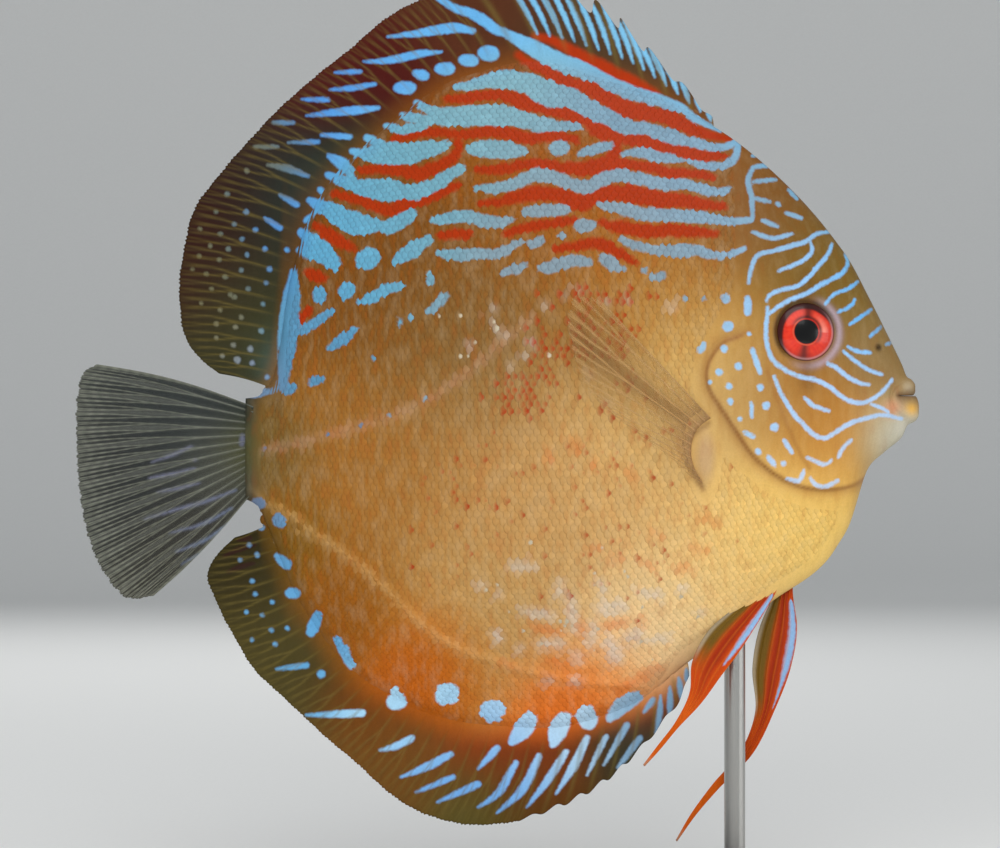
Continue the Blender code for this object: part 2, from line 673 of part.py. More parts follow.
def build_stand():
    """A flat base with rounded corners, a collar and one rod up into the belly."""
    bpy.ops.mesh.primitive_cube_add(size=MM)
    base = bpy.context.active_object
    base.scale = (BASE_LENGTH, BASE_WIDTH, BASE_THICKNESS)
    bpy.ops.object.transform_apply(scale=True)
    base.location = ((BASE_CENTRE_X + FISH_CENTRE[0]) * MM, 0, BASE_THICKNESS / 2 * MM)
    bpy.ops.object.transform_apply(location=True)
    filed(base, "stand_base", "stained_wood")
    shape = bmesh.new()
    shape.from_mesh(base.data)
    upright = [e for e in shape.edges if abs(e.verts[0].co.z - e.verts[1].co.z) > MM]
    bmesh.ops.bevel(
        shape, geom=upright, offset=BASE_CORNER * MM, segments=8, profile=0.5, affect="EDGES"
    )
    shape.to_mesh(base.data)
    shape.free()
    edge = base.modifiers.new("edge", "BEVEL")
    edge.width = BASE_EDGE * MM
    edge.segments = 2
    edge.limit_method = "ANGLE"
    bake_modifiers(base)
    collar_top = BASE_THICKNESS + COLLAR_HEIGHT
    belly = float(smooth(ROD_X, BELLY_EDGE)) + FISH_CENTRE[1]
    rod = cylinder("stand_rod", ROD_X, BASE_THICKNESS + GAP, belly + ROD_DEPTH - GAP,
                   ROD_RADIUS, "steel")
    collar = cylinder("collar", ROD_X, BASE_THICKNESS + GAP, collar_top, COLLAR_RADIUS, "steel")
    boolean(rod, collar, "UNION")


for old in list(bpy.data.objects):
    bpy.data.objects.remove(old)
FISH = bpy.data.collections.new("discus_fish")
bpy.context.scene.collection.children.link(FISH)
build_body()
build_fins()
build_stand()
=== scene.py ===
# %% [markdown]
# # A discus fish on its stand
#
# A museum shows a fish as a painted cast: the body is one smooth form, the scales are pressed
# into it, the fins are thin sheets stiffened by rays, and the eyes are set in as glass domes.
# This lesson makes the same thing in Blender. Each surface is a function of two numbers,
# worked out for a whole grid at once with numpy, and each marking is a brush stroke.
# The solids of the fish come first, because every piece is fitted to them.

import bpy
import numpy as np
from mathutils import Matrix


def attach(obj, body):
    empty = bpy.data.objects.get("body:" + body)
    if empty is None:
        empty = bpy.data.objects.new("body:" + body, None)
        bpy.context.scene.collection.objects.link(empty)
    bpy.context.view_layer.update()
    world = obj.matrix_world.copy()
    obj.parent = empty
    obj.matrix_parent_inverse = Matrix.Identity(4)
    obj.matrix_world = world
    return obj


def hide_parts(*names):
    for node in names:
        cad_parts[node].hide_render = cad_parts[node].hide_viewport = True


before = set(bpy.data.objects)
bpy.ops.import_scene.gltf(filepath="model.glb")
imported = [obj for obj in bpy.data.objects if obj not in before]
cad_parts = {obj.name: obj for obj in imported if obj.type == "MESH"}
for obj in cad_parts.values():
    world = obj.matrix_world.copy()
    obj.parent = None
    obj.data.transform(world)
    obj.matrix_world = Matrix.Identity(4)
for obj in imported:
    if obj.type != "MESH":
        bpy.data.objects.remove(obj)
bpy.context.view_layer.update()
print("nodes in the frame:", len(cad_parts))

# %% [markdown]
# ## Sizes and places
#
# Everything on the fish is written in millimetres from its middle: x runs to the snout, z runs
# up, and y = 0 is the plane that parts the two flanks. One pixel of the reference picture is
# 0.19 mm of fish, so a marking can be written where it was seen, in pixels, and turned to
# millimetres by one function.

# %% Units and the two frames
MM = 0.001
FISH_X, FISH_Z = 0.8, 93.2
PIXEL = 0.19
PICTURE_WIDTH, PICTURE_HEIGHT = 1000, 848
MIDDLE_PX, MIDDLE_PY = PICTURE_WIDTH / 2, PICTURE_HEIGHT / 2
SIDES = ((-1, "right"), (1, "left"))


def fish_place(px, py):
    """Millimetres on the fish of a picture place: offsets from the middle times the pixel."""
    return (np.asarray(px) - MIDDLE_PX) * PIXEL, (MIDDLE_PY - np.asarray(py)) * PIXEL


def picture_place(x, z):
    """The picture place of millimetres on the fish, the inverse of fish_place."""
    return MIDDLE_PX + np.asarray(x) / PIXEL, MIDDLE_PY - np.asarray(z) / PIXEL


# %% [markdown]
# ## Camera, floor and light
#
# The picture looks straight at the right flank, so the camera stands at the height of the
# fish's middle and looks along +Y. A long lens from three quarters of a metre keeps the flank
# as flat as it was seen. The floor is a paper sweep: a plane that curves up into a wall, which
# has no corner to catch the eye. One large soft lamp by the camera gives the frontal light, two
# more lift the back and the belly, and a weak one behind gives the far flank and the thin fins
# some light.

# %% The camera
CAMERA_DISTANCE = 0.78
SENSOR_WIDTH = 36.0

camera_data = bpy.data.cameras.new("camera")
camera_data.sensor_width = SENSOR_WIDTH
camera_data.lens = SENSOR_WIDTH * CAMERA_DISTANCE / (PICTURE_WIDTH * PIXEL * MM)
camera = bpy.data.objects.new("camera", camera_data)
camera.location = (FISH_X * MM, -CAMERA_DISTANCE, FISH_Z * MM)
camera.rotation_euler = (np.pi / 2, 0, 0)
bpy.context.scene.collection.objects.link(camera)
bpy.context.scene.camera = camera
bpy.context.scene.view_settings.view_transform = "Standard"
print(f"lens {camera_data.lens:.0f} mm")


# %% How a mesh is made from arrays
def mesh_piece(name, points, *face_sets, in_metres=False):
    """A smooth mesh object from fish millimetres: each place is shifted to the world's origin
    and scaled to metres, and each face set is an array of vertex numbers, one face a row."""
    points = np.asarray(points, float)
    world = points if in_metres else (points + (FISH_X, 0, FISH_Z)) * MM
    corners = np.concatenate([faces.ravel() for faces in face_sets]).astype(np.int32)
    sizes = np.concatenate([np.full(len(faces), faces.shape[1]) for faces in face_sets])
    mesh = bpy.data.meshes.new(name)
    mesh.vertices.add(len(world))
    mesh.vertices.foreach_set("co", world.astype(np.float32).ravel())
    mesh.loops.add(len(corners))
    mesh.loops.foreach_set("vertex_index", corners)
    mesh.polygons.add(len(sizes))
    mesh.polygons.foreach_set("loop_start", (np.cumsum(sizes) - sizes).astype(np.int32))
    mesh.update(calc_edges=True)
    mesh.shade_smooth()
    made = bpy.data.objects.new(name, mesh)
    bpy.context.scene.collection.objects.link(made)
    return made


def grid_faces(columns, rows, around=False):
    """Quads of a grid whose vertex number is column * rows + row. With around, the last row
    joins the first."""
    column, row = np.meshgrid(np.arange(columns - 1), np.arange(rows - (not around)), indexing="ij")
    here = (column * rows + row).ravel()
    above = (column * rows + (row + 1) % rows).ravel()
    return np.stack([here, here + rows, above + rows, above], axis=1)


def give(made, name, values):
    """Stores one number or one linear colour per vertex on a mesh, under a name."""
    values = np.asarray(values, np.float32)
    if values.ndim == 1:
        layer = made.data.attributes.new(name, "FLOAT", "POINT")
        layer.data.foreach_set("value", values)
    else:
        layer = made.data.attributes.new(name, "FLOAT_COLOR", "POINT")
        opaque = np.ones((len(values), 1), np.float32)
        layer.data.foreach_set("color", np.concatenate([values, opaque], axis=1).ravel())


# %% Colours and shader nodes
def linear(srgb):
    """sRGB shares to linear ones: a straight line near black and a 2.4 power above it."""
    srgb = np.asarray(srgb, float)
    return np.where(srgb <= 0.04045, srgb / 12.92, ((srgb + 0.055) / 1.055) ** 2.4)


def hex_shares(code):
    """The three sRGB shares, 0 to 1, of a hex colour."""
    return np.array([int(code[k : k + 2], 16) / 255 for k in (0, 2, 4)])


def colour(code):
    """A hex colour as the linear red, green, blue and alpha that a socket takes."""
    return (*linear(hex_shares(code)), 1.0)


def add(tree, kind, feeds=None, **settings):
    """Adds a shader node with its settings. feeds fills its inputs by name or number, with a
    value, or with another node's output, which is linked."""
    node = tree.nodes.new("ShaderNode" + kind)
    for key, value in settings.items():
        setattr(node, key, value)
    for key, value in (feeds or {}).items():
        if isinstance(value, bpy.types.NodeSocket):
            tree.links.new(value, node.inputs[key])
        else:
            node.inputs[key].default_value = value
    return node


def new_finish(name, sockets):
    """A material with its node tree and its shader, whose plain sockets are set by name."""
    material = bpy.data.materials.new(name)
    material.use_nodes = True
    tree = material.node_tree
    shader = tree.nodes["Principled BSDF"]
    for socket, value in sockets.items():
        shader.inputs[socket].default_value = value
    return material, tree, shader


# %% The sweep under and behind the fish
SWEEP_FRONT, SWEEP_BACK, SWEEP_HALF, SWEEP_TOP, SWEEP_BEND = -1.4, 1.75, 1.6, 1.7, 0.4


def sweep_profile(count=24):
    """Floor and wall as one line of (y, z): straight, a quarter circle, straight again."""
    turn = np.linspace(0, np.pi / 2, count)
    bend_y = SWEEP_BACK - SWEEP_BEND + SWEEP_BEND * np.sin(turn)
    bend_z = SWEEP_BEND * (1 - np.cos(turn))
    return np.stack([np.r_[SWEEP_FRONT, bend_y, SWEEP_BACK], np.r_[0, bend_z, SWEEP_TOP]], axis=1)


profile = sweep_profile()
across = np.array([-SWEEP_HALF, SWEEP_HALF])
sweep_points = np.array([(x, y, z) for x in across for y, z in profile])
floor = mesh_piece("floor", sweep_points, grid_faces(2, len(profile)), in_metres=True)

# Matt seamless paper: no gloss, a very faint fibre.
paper, tree, shader = new_finish("seamless_paper", {"Roughness": 0.95, "Specular IOR Level": 0.2})
fibre = add(tree, "TexNoise", {"Vector": add(tree, "TexCoord").outputs["Object"], "Scale": 900.0})
paper_colour = add(
    tree, "Mix", {0: fibre.outputs[0], 6: colour("ececea"), 7: colour("f2f2f0")}, data_type="RGBA"
)
tree.links.new(paper_colour.outputs[2], shader.inputs["Base Color"])
floor.data.materials.append(paper)

# %% Lamps and surroundings: place in metres, side in metres, watts
LAMPS = {
    "key": ((-0.06, -0.98, 0.34), 0.6, 6.7),
    "top": ((0.12, -0.50, 0.82), 0.7, 2.6),
    "fill": ((0.95, -0.32, 0.16), 0.45, 1.3),
    "back": ((-0.15, 0.95, 0.70), 0.6, 3.0),
}
WORLD_STRENGTH = 0.38


def soft_lamp(name, place, size, watts):
    """A square lamp turned so that its -Z axis points at the fish's middle. The key lamp isn't
    seen in gloss: it is crossed with a polariser, as where varnished paint is copied."""
    data = bpy.data.lights.new(name, "AREA")
    data.size = size
    data.energy = watts
    lamp = bpy.data.objects.new(name, data)
    aim = np.array([FISH_X * MM, 0, FISH_Z * MM]) - place
    away = np.hypot(aim[0], aim[1])
    lamp.location = place
    lamp.rotation_euler = (np.arctan2(away, -aim[2]), 0, np.arctan2(-aim[0], aim[1]))
    lamp.visible_glossy = name != "key"
    bpy.context.scene.collection.objects.link(lamp)


for lamp_name, (place, size, watts) in LAMPS.items():
    soft_lamp(lamp_name, np.array(place), size, watts)
world = bpy.data.worlds.new("studio")
bpy.context.scene.world = world
world.use_nodes = True
world.node_tree.nodes["Background"].inputs["Color"].default_value = colour("e8edf2")
world.node_tree.nodes["Background"].inputs["Strength"].default_value = WORLD_STRENGTH
print("lamps:", ", ".join(LAMPS))

# %% [markdown]
# ## The form of the body
#
# A discus is a coin on edge: very tall, and a sixth as thick. Two curves give its back and its
# belly, one gives where it is widest, one how wide, and two how sharp the keels are. The solids
# use the same curves, so the skin that is worked out here lies on them everywhere.

# %% Landmarks of the body, x and z in millimetres, from the tail stalk to the mouth
BACK_EDGE = [
    (-48.4, 4.9), (-46, 5.3), (-43.8, 7.6), (-42.2, 12.6), (-40.1, 26.4), (-35.7, 41),
    (-22.8, 56.2), (-5.7, 67.2), (6, 69.6), (22.8, 65.6), (41.4, 56.2), (52.3, 47.6),
    (65.6, 32.2), (73.8, 16.6), (76, 12.2), (77.4, 8.8),
]
BELLY_EDGE = [
    (-48.4, -14.3), (-46.2, -15.4), (-44, -20), (-38.4, -33.4), (-24.3, -50.4), (-5, -57.8),
    (8, -58.5), (24, -54.2), (36.1, -45.2), (52.3, -33.4), (61.8, -26.4), (67.4, -16.4),
    (70.2, -8), (74.4, -4.3), (77.4, -1.2),
]
WIDEST_HEIGHT = [
    (-48.4, -4.8), (-38, -2), (-20, 3), (5, 7), (35, 9), (56, 7), (70, 5), (77.4, 4),
]
HALF_WIDTH = [
    (-48.4, 1.9), (-44, 2.7), (-36, 4.9), (-20, 8), (0, 10.8), (22, 12.6), (40, 13), (54, 11.4),
    (65, 8.2), (72, 5.3), (77.4, 2.5),
]
BACK_KEEL = [
    (-48.4, 0.55), (-40, 0.9), (-20, 1.15), (30, 1.1), (50, 0.85), (77.4, 0.6),
]
BELLY_KEEL = [
    (-48.4, 0.55), (-40, 0.9), (-20, 1.15), (25, 1.05), (45, 0.75), (77.4, 0.6),
]
FIN_RIM = 0.6
TAIL_ROOT_X = -48.3


def smooth(at, landmarks):
    """The monotone cubic through the landmarks: between two of them it never overshoots,
    because each slope is the harmonic mean of the slopes of the chords beside it."""
    px, pz = np.array(landmarks, float).T
    step = np.diff(px)
    rise = np.diff(pz) / step
    slope = np.zeros(len(px))
    slope[0], slope[-1] = rise[0], rise[-1]
    before, after = rise[:-1], rise[1:]
    same_way = before * after > 0
    wide, near = 2 * step[1:] + step[:-1], step[1:] + 2 * step[:-1]
    safe_before, safe_after = np.where(same_way, before, 1), np.where(same_way, after, 1)
    slope[1:-1] = np.where(same_way, (wide + near) / (wide / safe_before + near / safe_after), 0)
    at = np.clip(np.asarray(at, float), px[0], px[-1])
    span = np.clip(np.searchsorted(px, at) - 1, 0, len(step) - 1)
    width = step[span]
    u = (at - px[span]) / width
    return (
        (1 + 2 * u) * (1 - u) ** 2 * pz[span]
        + u * (1 - u) ** 2 * width * slope[span]
        + u * u * (3 - 2 * u) * pz[span + 1]
        - u * u * (1 - u) * width * slope[span + 1]
    )


def along(points, shares):
    """Places at shares of the length of a cubic through the points, whose tangent at each
    point is the slope of the points beside it."""
    points = np.array(points, float)
    lengths = np.concatenate([[0], np.cumsum(np.linalg.norm(np.diff(points, axis=0), axis=1))])
    at = np.asarray(shares, float) * lengths[-1]
    tangents = np.gradient(points, lengths, axis=0)
    span = np.clip(np.searchsorted(lengths, at) - 1, 0, len(points) - 2)
    width = lengths[span + 1] - lengths[span]
    u = ((at - lengths[span]) / width)[..., None]
    width = width[..., None]
    return (
        (1 + 2 * u) * (1 - u) ** 2 * points[span]
        + u * (1 - u) ** 2 * width * tangents[span]
        + u * u * (3 - 2 * u) * points[span + 1]
        - u * u * (1 - u) * width * tangents[span + 1]
    )


def ease(share):
    """A smooth step: 0 below 0, 1 above 1, and 3u² - 2u³ between."""
    share = np.clip(share, 0, 1)
    return share * share * (3 - 2 * share)


def flank(x, z):
    """Half the body's thickness: the rim, plus the half width there times a power of
    1 - h², with h the share of the height from the widest line to the edge."""
    middle = smooth(x, WIDEST_HEIGHT)
    above = z >= middle
    edge = np.where(above, smooth(x, BACK_EDGE), smooth(x, BELLY_EDGE))
    keel = np.where(above, smooth(x, BACK_KEEL), smooth(x, BELLY_KEEL))
    height = np.clip((z - middle) / (edge - middle), 0, 1)
    return FIN_RIM + (smooth(x, HALF_WIDTH) - FIN_RIM) * (1 - height**2) ** keel


def outside(x, z, edge, way):
    """Distance of a place beyond the back (way 1) or the belly (way -1), negative within the
    body: the height over the edge, divided by hypot(1, slope)."""
    slope = smooth(x + 0.5, edge) - smooth(x - 0.5, edge)
    return way * (z - smooth(x, edge)) / np.hypot(1, slope)


print("thickest place:", 2 * float(flank(np.array(40.0), np.array(9.0))), "mm")

# %% [markdown]
# ## Relief of the skin
#
# The head isn't a plain dome. The gill cover is a plate whose rear margin stands off the
# shoulder, a second bone edge runs over the cheek, the eye lies in a soft ring, and the nostril
# is a small pit. Behind, a pale ridge marks where the fin muscles of the belly begin. All of
# these are heights added to the flank. Each is a bell or a step of the distance to a point or a
# line, so one function of x and z holds them, and the skin and the scales can share it.

# %% Lines and places that the relief follows, in picture places
GILL_MARGIN = [
    (756, 327), (735, 338), (722, 343), (710, 355), (703, 375), (706, 390), (715, 405),
    (725, 420), (735, 435), (745, 450), (760, 465), (775, 476), (795, 485), (820, 489),
    (850, 485), (872, 474),
]
CHEEK_BONE = [
    (763, 372), (775, 405), (783, 425), (790, 440), (797, 455), (806, 468),
]
BELLY_RIDGE = [
    (250, 488), (262, 500), (288, 512), (311, 530), (350, 556), (388, 589), (418, 620),
    (450, 643), (500, 663), (560, 678), (640, 686),
]
LATERAL_LINE = [
    (265, 451), (310, 440), (360, 427), (420, 405), (470, 372), (530, 320),
]
LOBE_ARC = [
    (705, 424), (690, 435), (686, 455), (690, 472), (700, 487),
]
EYE_CENTRE, EYE_RADIUS = fish_place(802, 333), 5.45
NOSTRIL = fish_place(877, 348)
LOBE = fish_place(702, 456)
JAW_FOLD = fish_place(888, 406)


def path(places, count=60):
    """A smooth line through picture places, as millimetres on the fish."""
    px, py = along(places, np.linspace(0, 1, count)).T
    return np.stack(fish_place(px, py), axis=1)


def beside(x, z, line):
    """Distance to a line, the least over its straight spans, with the side it is on, +1 on
    the right of the line's run and -1 on its left, and the share of the line passed there."""
    best = np.full(np.shape(x), 1e9)
    side, passed = np.zeros(np.shape(x)), np.zeros(np.shape(x))
    for span, ((ax, az), (bx, bz)) in enumerate(zip(line[:-1], line[1:])):
        run_x, run_z = bx - ax, bz - az
        share = np.clip(((x - ax) * run_x + (z - az) * run_z) / (run_x**2 + run_z**2), 0, 1)
        away_x, away_z = x - ax - share * run_x, z - az - share * run_z
        distance = np.hypot(away_x, away_z)
        nearer = distance < best
        best = np.where(nearer, distance, best)
        side = np.where(nearer, np.sign(away_x * run_z - away_z * run_x), side)
        passed = np.where(nearer, (span + share) / (len(line) - 1), passed)
    return best, side, passed


def bell(distance, width):
    """1 at no distance, falling as exp(-(d/w)²)."""
    return np.exp(-((distance / width) ** 2))


def around(x, z, place, half_x=1.0, half_z=1.0):
    """Distance from a place, in shares of the half axes where an oval is given."""
    return np.hypot((x - place[0]) / half_x, (z - place[1]) / half_z)


GILL_PATH, CHEEK_PATH, RIDGE_PATH = path(GILL_MARGIN), path(CHEEK_BONE, 20), path(BELLY_RIDGE, 40)
LATERAL_PATH, LOBE_PATH = path(LATERAL_LINE, 30), path(LOBE_ARC, 20)

# %% Each form: its height, how far from its line or place it lies, and its width, in millimetres
FORMS = {
    "eye ring": (0.42, 6.5, 0.75),
    "gill groove": (-0.22, 0.5, 0.6),
    "cheek bone": (-0.16, 0, 0.6),
    "nostril rim": (0.16, 0.95, 0.35),
    "nostril pit": (-0.75, 0, 0.5),
    "belly ridge": (0.3, 0, 0.8),
    "lateral line": (0.1, 0, 0.5),
    "jaw fold": (0.4, 0, 1.0),
}
EYE_POCKET, EYE_POCKET_REACH = -2.6, 7.2
GILL_STEP, GILL_STEP_WIDTH, GILL_FALL = 0.62, 0.5, 7.0
LOBE_HEIGHT, LOBE_OVAL, JAW_OVAL = 0.9, (2.1, 6.0), (1.5, 2.4)
UNEVENNESS = 0.10


def form(name, distance):
    """A named form of the relief, height exp(-((d - at) / width)²)."""
    height, at, width = FORMS[name]
    return height * bell(distance - at, width)


def relief(x, z):
    """Height of the skin over the flank, in millimetres: the sum of each form's own bell or
    step of its distance."""
    eye, nostril = around(x, z, EYE_CENTRE), around(x, z, NOSTRIL)
    height = EYE_POCKET * (1 - ease(eye / EYE_POCKET_REACH)) + form("eye ring", eye)
    gill, side, passed = beside(x, z, GILL_PATH)
    inside = ease(0.5 - side * gill / GILL_STEP_WIDTH)
    ends = ease(passed / 0.12) * ease((1 - passed) / 0.2)
    height += ends * inside * GILL_STEP * np.exp(-gill / GILL_FALL)
    height += ends * (1 - inside) * form("gill groove", gill)
    height += form("cheek bone", beside(x, z, CHEEK_PATH)[0])
    height += form("nostril rim", nostril) + form("nostril pit", nostril)
    height += form("belly ridge", beside(x, z, RIDGE_PATH)[0])
    height += form("lateral line", beside(x, z, LATERAL_PATH)[0])
    height += LOBE_HEIGHT * ease(1.3 - around(x, z, LOBE, *LOBE_OVAL))
    height += form("jaw fold", around(x, z, JAW_FOLD, *JAW_OVAL))
    return height + UNEVENNESS * np.sin(x * 0.21 + 1.0) * np.sin(z * 0.17 + 0.4)


print("relief at the nostril:", round(float(relief(NOSTRIL[0], NOSTRIL[1])), 2), "mm")

# %% [markdown]
# ## Markings as brush strokes
#
# A discus is painted in stripes. A picture pasted on the mesh would be a photograph of one
# fish from one side, and a wave texture is too regular. A painter would take a brush: each
# stripe is a line with a width. Here every stroke is drawn into a map of distances, negative
# inside the stroke and positive outside. Distances stay sharp when they are read between two
# cells or two vertices, so a coarse map still gives a clean edge, and the shader may roughen it.
# A stroke is written as its width and then its places, in pixels of the reference picture.

# %% The map of distances
MAP_STEP = 0.5
MAP_LEFT, MAP_TOP, MAP_RIGHT, MAP_BOTTOM = 50, -40, 940, 860
FAR = 9.0


def blank_map():
    """A map with no stroke near: every cell holds the largest distance."""
    rows = int((MAP_BOTTOM - MAP_TOP) / MAP_STEP) + 1
    columns = int((MAP_RIGHT - MAP_LEFT) / MAP_STEP) + 1
    return np.full((rows, columns), FAR, np.float32)


def stroke(field, widths, *places):
    """Draws one stroke: along a smooth curve through the places the cell keeps the least of
    the distance to each short span less half the width there. One place is a round dot."""
    widths = np.atleast_1d(widths).astype(float)
    if len(places) == 1:
        places = (places[0], (places[0][0] + 0.5, places[0][1]))
    count = max(2, 5 * (len(places) - 1) + 1)
    shares = np.linspace(0, 1, count)
    line = along(places, shares) if len(places) > 2 else np.linspace(*np.array(places, float), count)
    half = np.interp(shares, np.linspace(0, 1, len(widths)), widths) / 2
    half = half * (1 - 0.25 * np.abs(2 * shares - 1) ** 3)
    for (ax, ay), (bx, by), first, last in zip(line[:-1], line[1:], half[:-1], half[1:]):
        reach = max(first, last) + FAR
        left = max(int((min(ax, bx) - reach - MAP_LEFT) / MAP_STEP), 0)
        right = int((max(ax, bx) + reach - MAP_LEFT) / MAP_STEP) + 1
        top = max(int((min(ay, by) - reach - MAP_TOP) / MAP_STEP), 0)
        bottom = int((max(ay, by) + reach - MAP_TOP) / MAP_STEP) + 1
        patch = field[top:bottom, left:right]
        y, x = np.mgrid[top : top + patch.shape[0], left : left + patch.shape[1]] * MAP_STEP
        x, y = x + MAP_LEFT, y + MAP_TOP
        run_x, run_y = bx - ax, by - ay
        share = np.clip(((x - ax) * run_x + (y - ay) * run_y) / (run_x**2 + run_y**2 + 1e-9), 0, 1)
        away = np.hypot(x - ax - share * run_x, y - ay - share * run_y)
        np.minimum(patch, away - (first + share * (last - first)), out=patch, casting="same_kind")


def paint(strokes):
    """A map with all the strokes of a list, each a width or widths and then its places."""
    field = blank_map()
    for widths, *places in strokes:
        stroke(field, widths, *places)
    return field


def read_map(field, x, z):
    """Distance in millimetres to the nearest stroke, by a weighted mean of four cells."""
    px, py = picture_place(x, z)
    column = np.clip((px - MAP_LEFT) / MAP_STEP, 0, field.shape[1] - 1.001)
    row = np.clip((py - MAP_TOP) / MAP_STEP, 0, field.shape[0] - 1.001)
    left, top = column.astype(int), row.astype(int)
    u, v = column - left, row - top
    upper = field[top, left] * (1 - u) + field[top, left + 1] * u
    lower = field[top + 1, left] * (1 - u) + field[top + 1, left + 1] * u
    return (upper * (1 - v) + lower * v) * PIXEL


# %% [markdown]
# The light blue strokes are set out by the part of the fish they lie on. On the face they are
# thin, round lines that echo the eye. On the back they are broad and nearly level, and they
# break into blobs behind. On the fins they turn to lie along the rays.

# %% Light blue lines of the face and the gill cover
FACE_LINES = [
    (4.6, (745, 285), (748, 270), (755, 257), (770, 253), (790, 247), (803, 243), (815, 235),
     (828, 232)),
    (4.2, (808, 243), (810, 250), (800, 262), (790, 267), (775, 273)),
    (4.4, (831, 245), (826, 255), (815, 268), (803, 281), (795, 287), (780, 291), (765, 298),
     (763, 302)),
    (4.6, (845, 255), (847, 262), (842, 272), (830, 280), (818, 286), (805, 294), (785, 302),
     (765, 315)),
    (4.6, (764, 309), (763, 320), (762, 335), (764, 350), (768, 360), (780, 370), (795, 377),
     (810, 380), (825, 387), (838, 397), (848, 402), (860, 403), (870, 399), (882, 390),
     (890, 380)),
    (3.6, (822, 305), (832, 295), (845, 290), (857, 282)),
    (3.4, (835, 313), (848, 307), (853, 300)), (3.6, (847, 325), (858, 318), (870, 310)),
    (3.4, (868, 337), (880, 327)), (3.4, (885, 345), (892, 342)),
    (4, (845, 348), (855, 352), (868, 353)), (4, (840, 352), (850, 360), (865, 370), (880, 375)),
    (4.4, (823, 364), (832, 368), (845, 378), (855, 383), (866, 385)),
    (4.6, (770, 377), (775, 390), (782, 403), (790, 415), (800, 425), (812, 436), (820, 438),
     (835, 430), (850, 422), (865, 418), (880, 415), (900, 419)),
    (4.4, (800, 398), (810, 406), (825, 411)), (4.2, (835, 457), (840, 447), (848, 440)),
    (4.2, (803, 457), (812, 461), (822, 464), (828, 460)),
    (4.6, (783, 478), (795, 480), (800, 470)),
    (4.6, (807, 478), (812, 484), (820, 486), (835, 480)),
    (3.6, (868, 404), (878, 408), (886, 412)),
]
GILL_SPOTS = [
    (5.6, (748, 350), (752, 362), (756, 373)), (4.4, (745, 335)), (8, (744, 300), (744, 315)),
    (9, (722, 300), (723, 301)), (11, (724, 328)), (8, (720, 350)), (8, (734, 367)),
    (7.6, (715, 373)), (7, (725, 387)), (6.6, (726, 402)), (7, (756, 388)), (8, (762, 406)),
    (8.6, (770, 427)), (5, (780, 440), (788, 452)), (4, (747, 403), (748, 418)),
    (5, (740, 432), (750, 437)), (6.6, (754, 451)), (5.4, (764, 456), (771, 465)),
    (5.6, (779, 463)), (7, (700, 345), (697, 352)), (4.4, (706, 383)), (5, (736, 419)),
    (5.5, (700, 300)), (5, (683, 300)),
]
NAPE_LINES = [
    ((6, 5), (752, 168), (747, 180), (750, 200), (750, 222)), (5, (752, 168), (770, 165)),
    (4.6, (752, 183), (775, 180)), (4.8, (752, 200), (768, 203)), (5, (760, 222), (775, 228)),
    (5, (775, 205), (778, 206)), (4.6, (766, 150), (752, 156)), (4.6, (788, 190), (796, 199)),
    (4.6, (784, 214), (800, 219)), (4.4, (750, 234), (770, 240), (790, 235)),
]

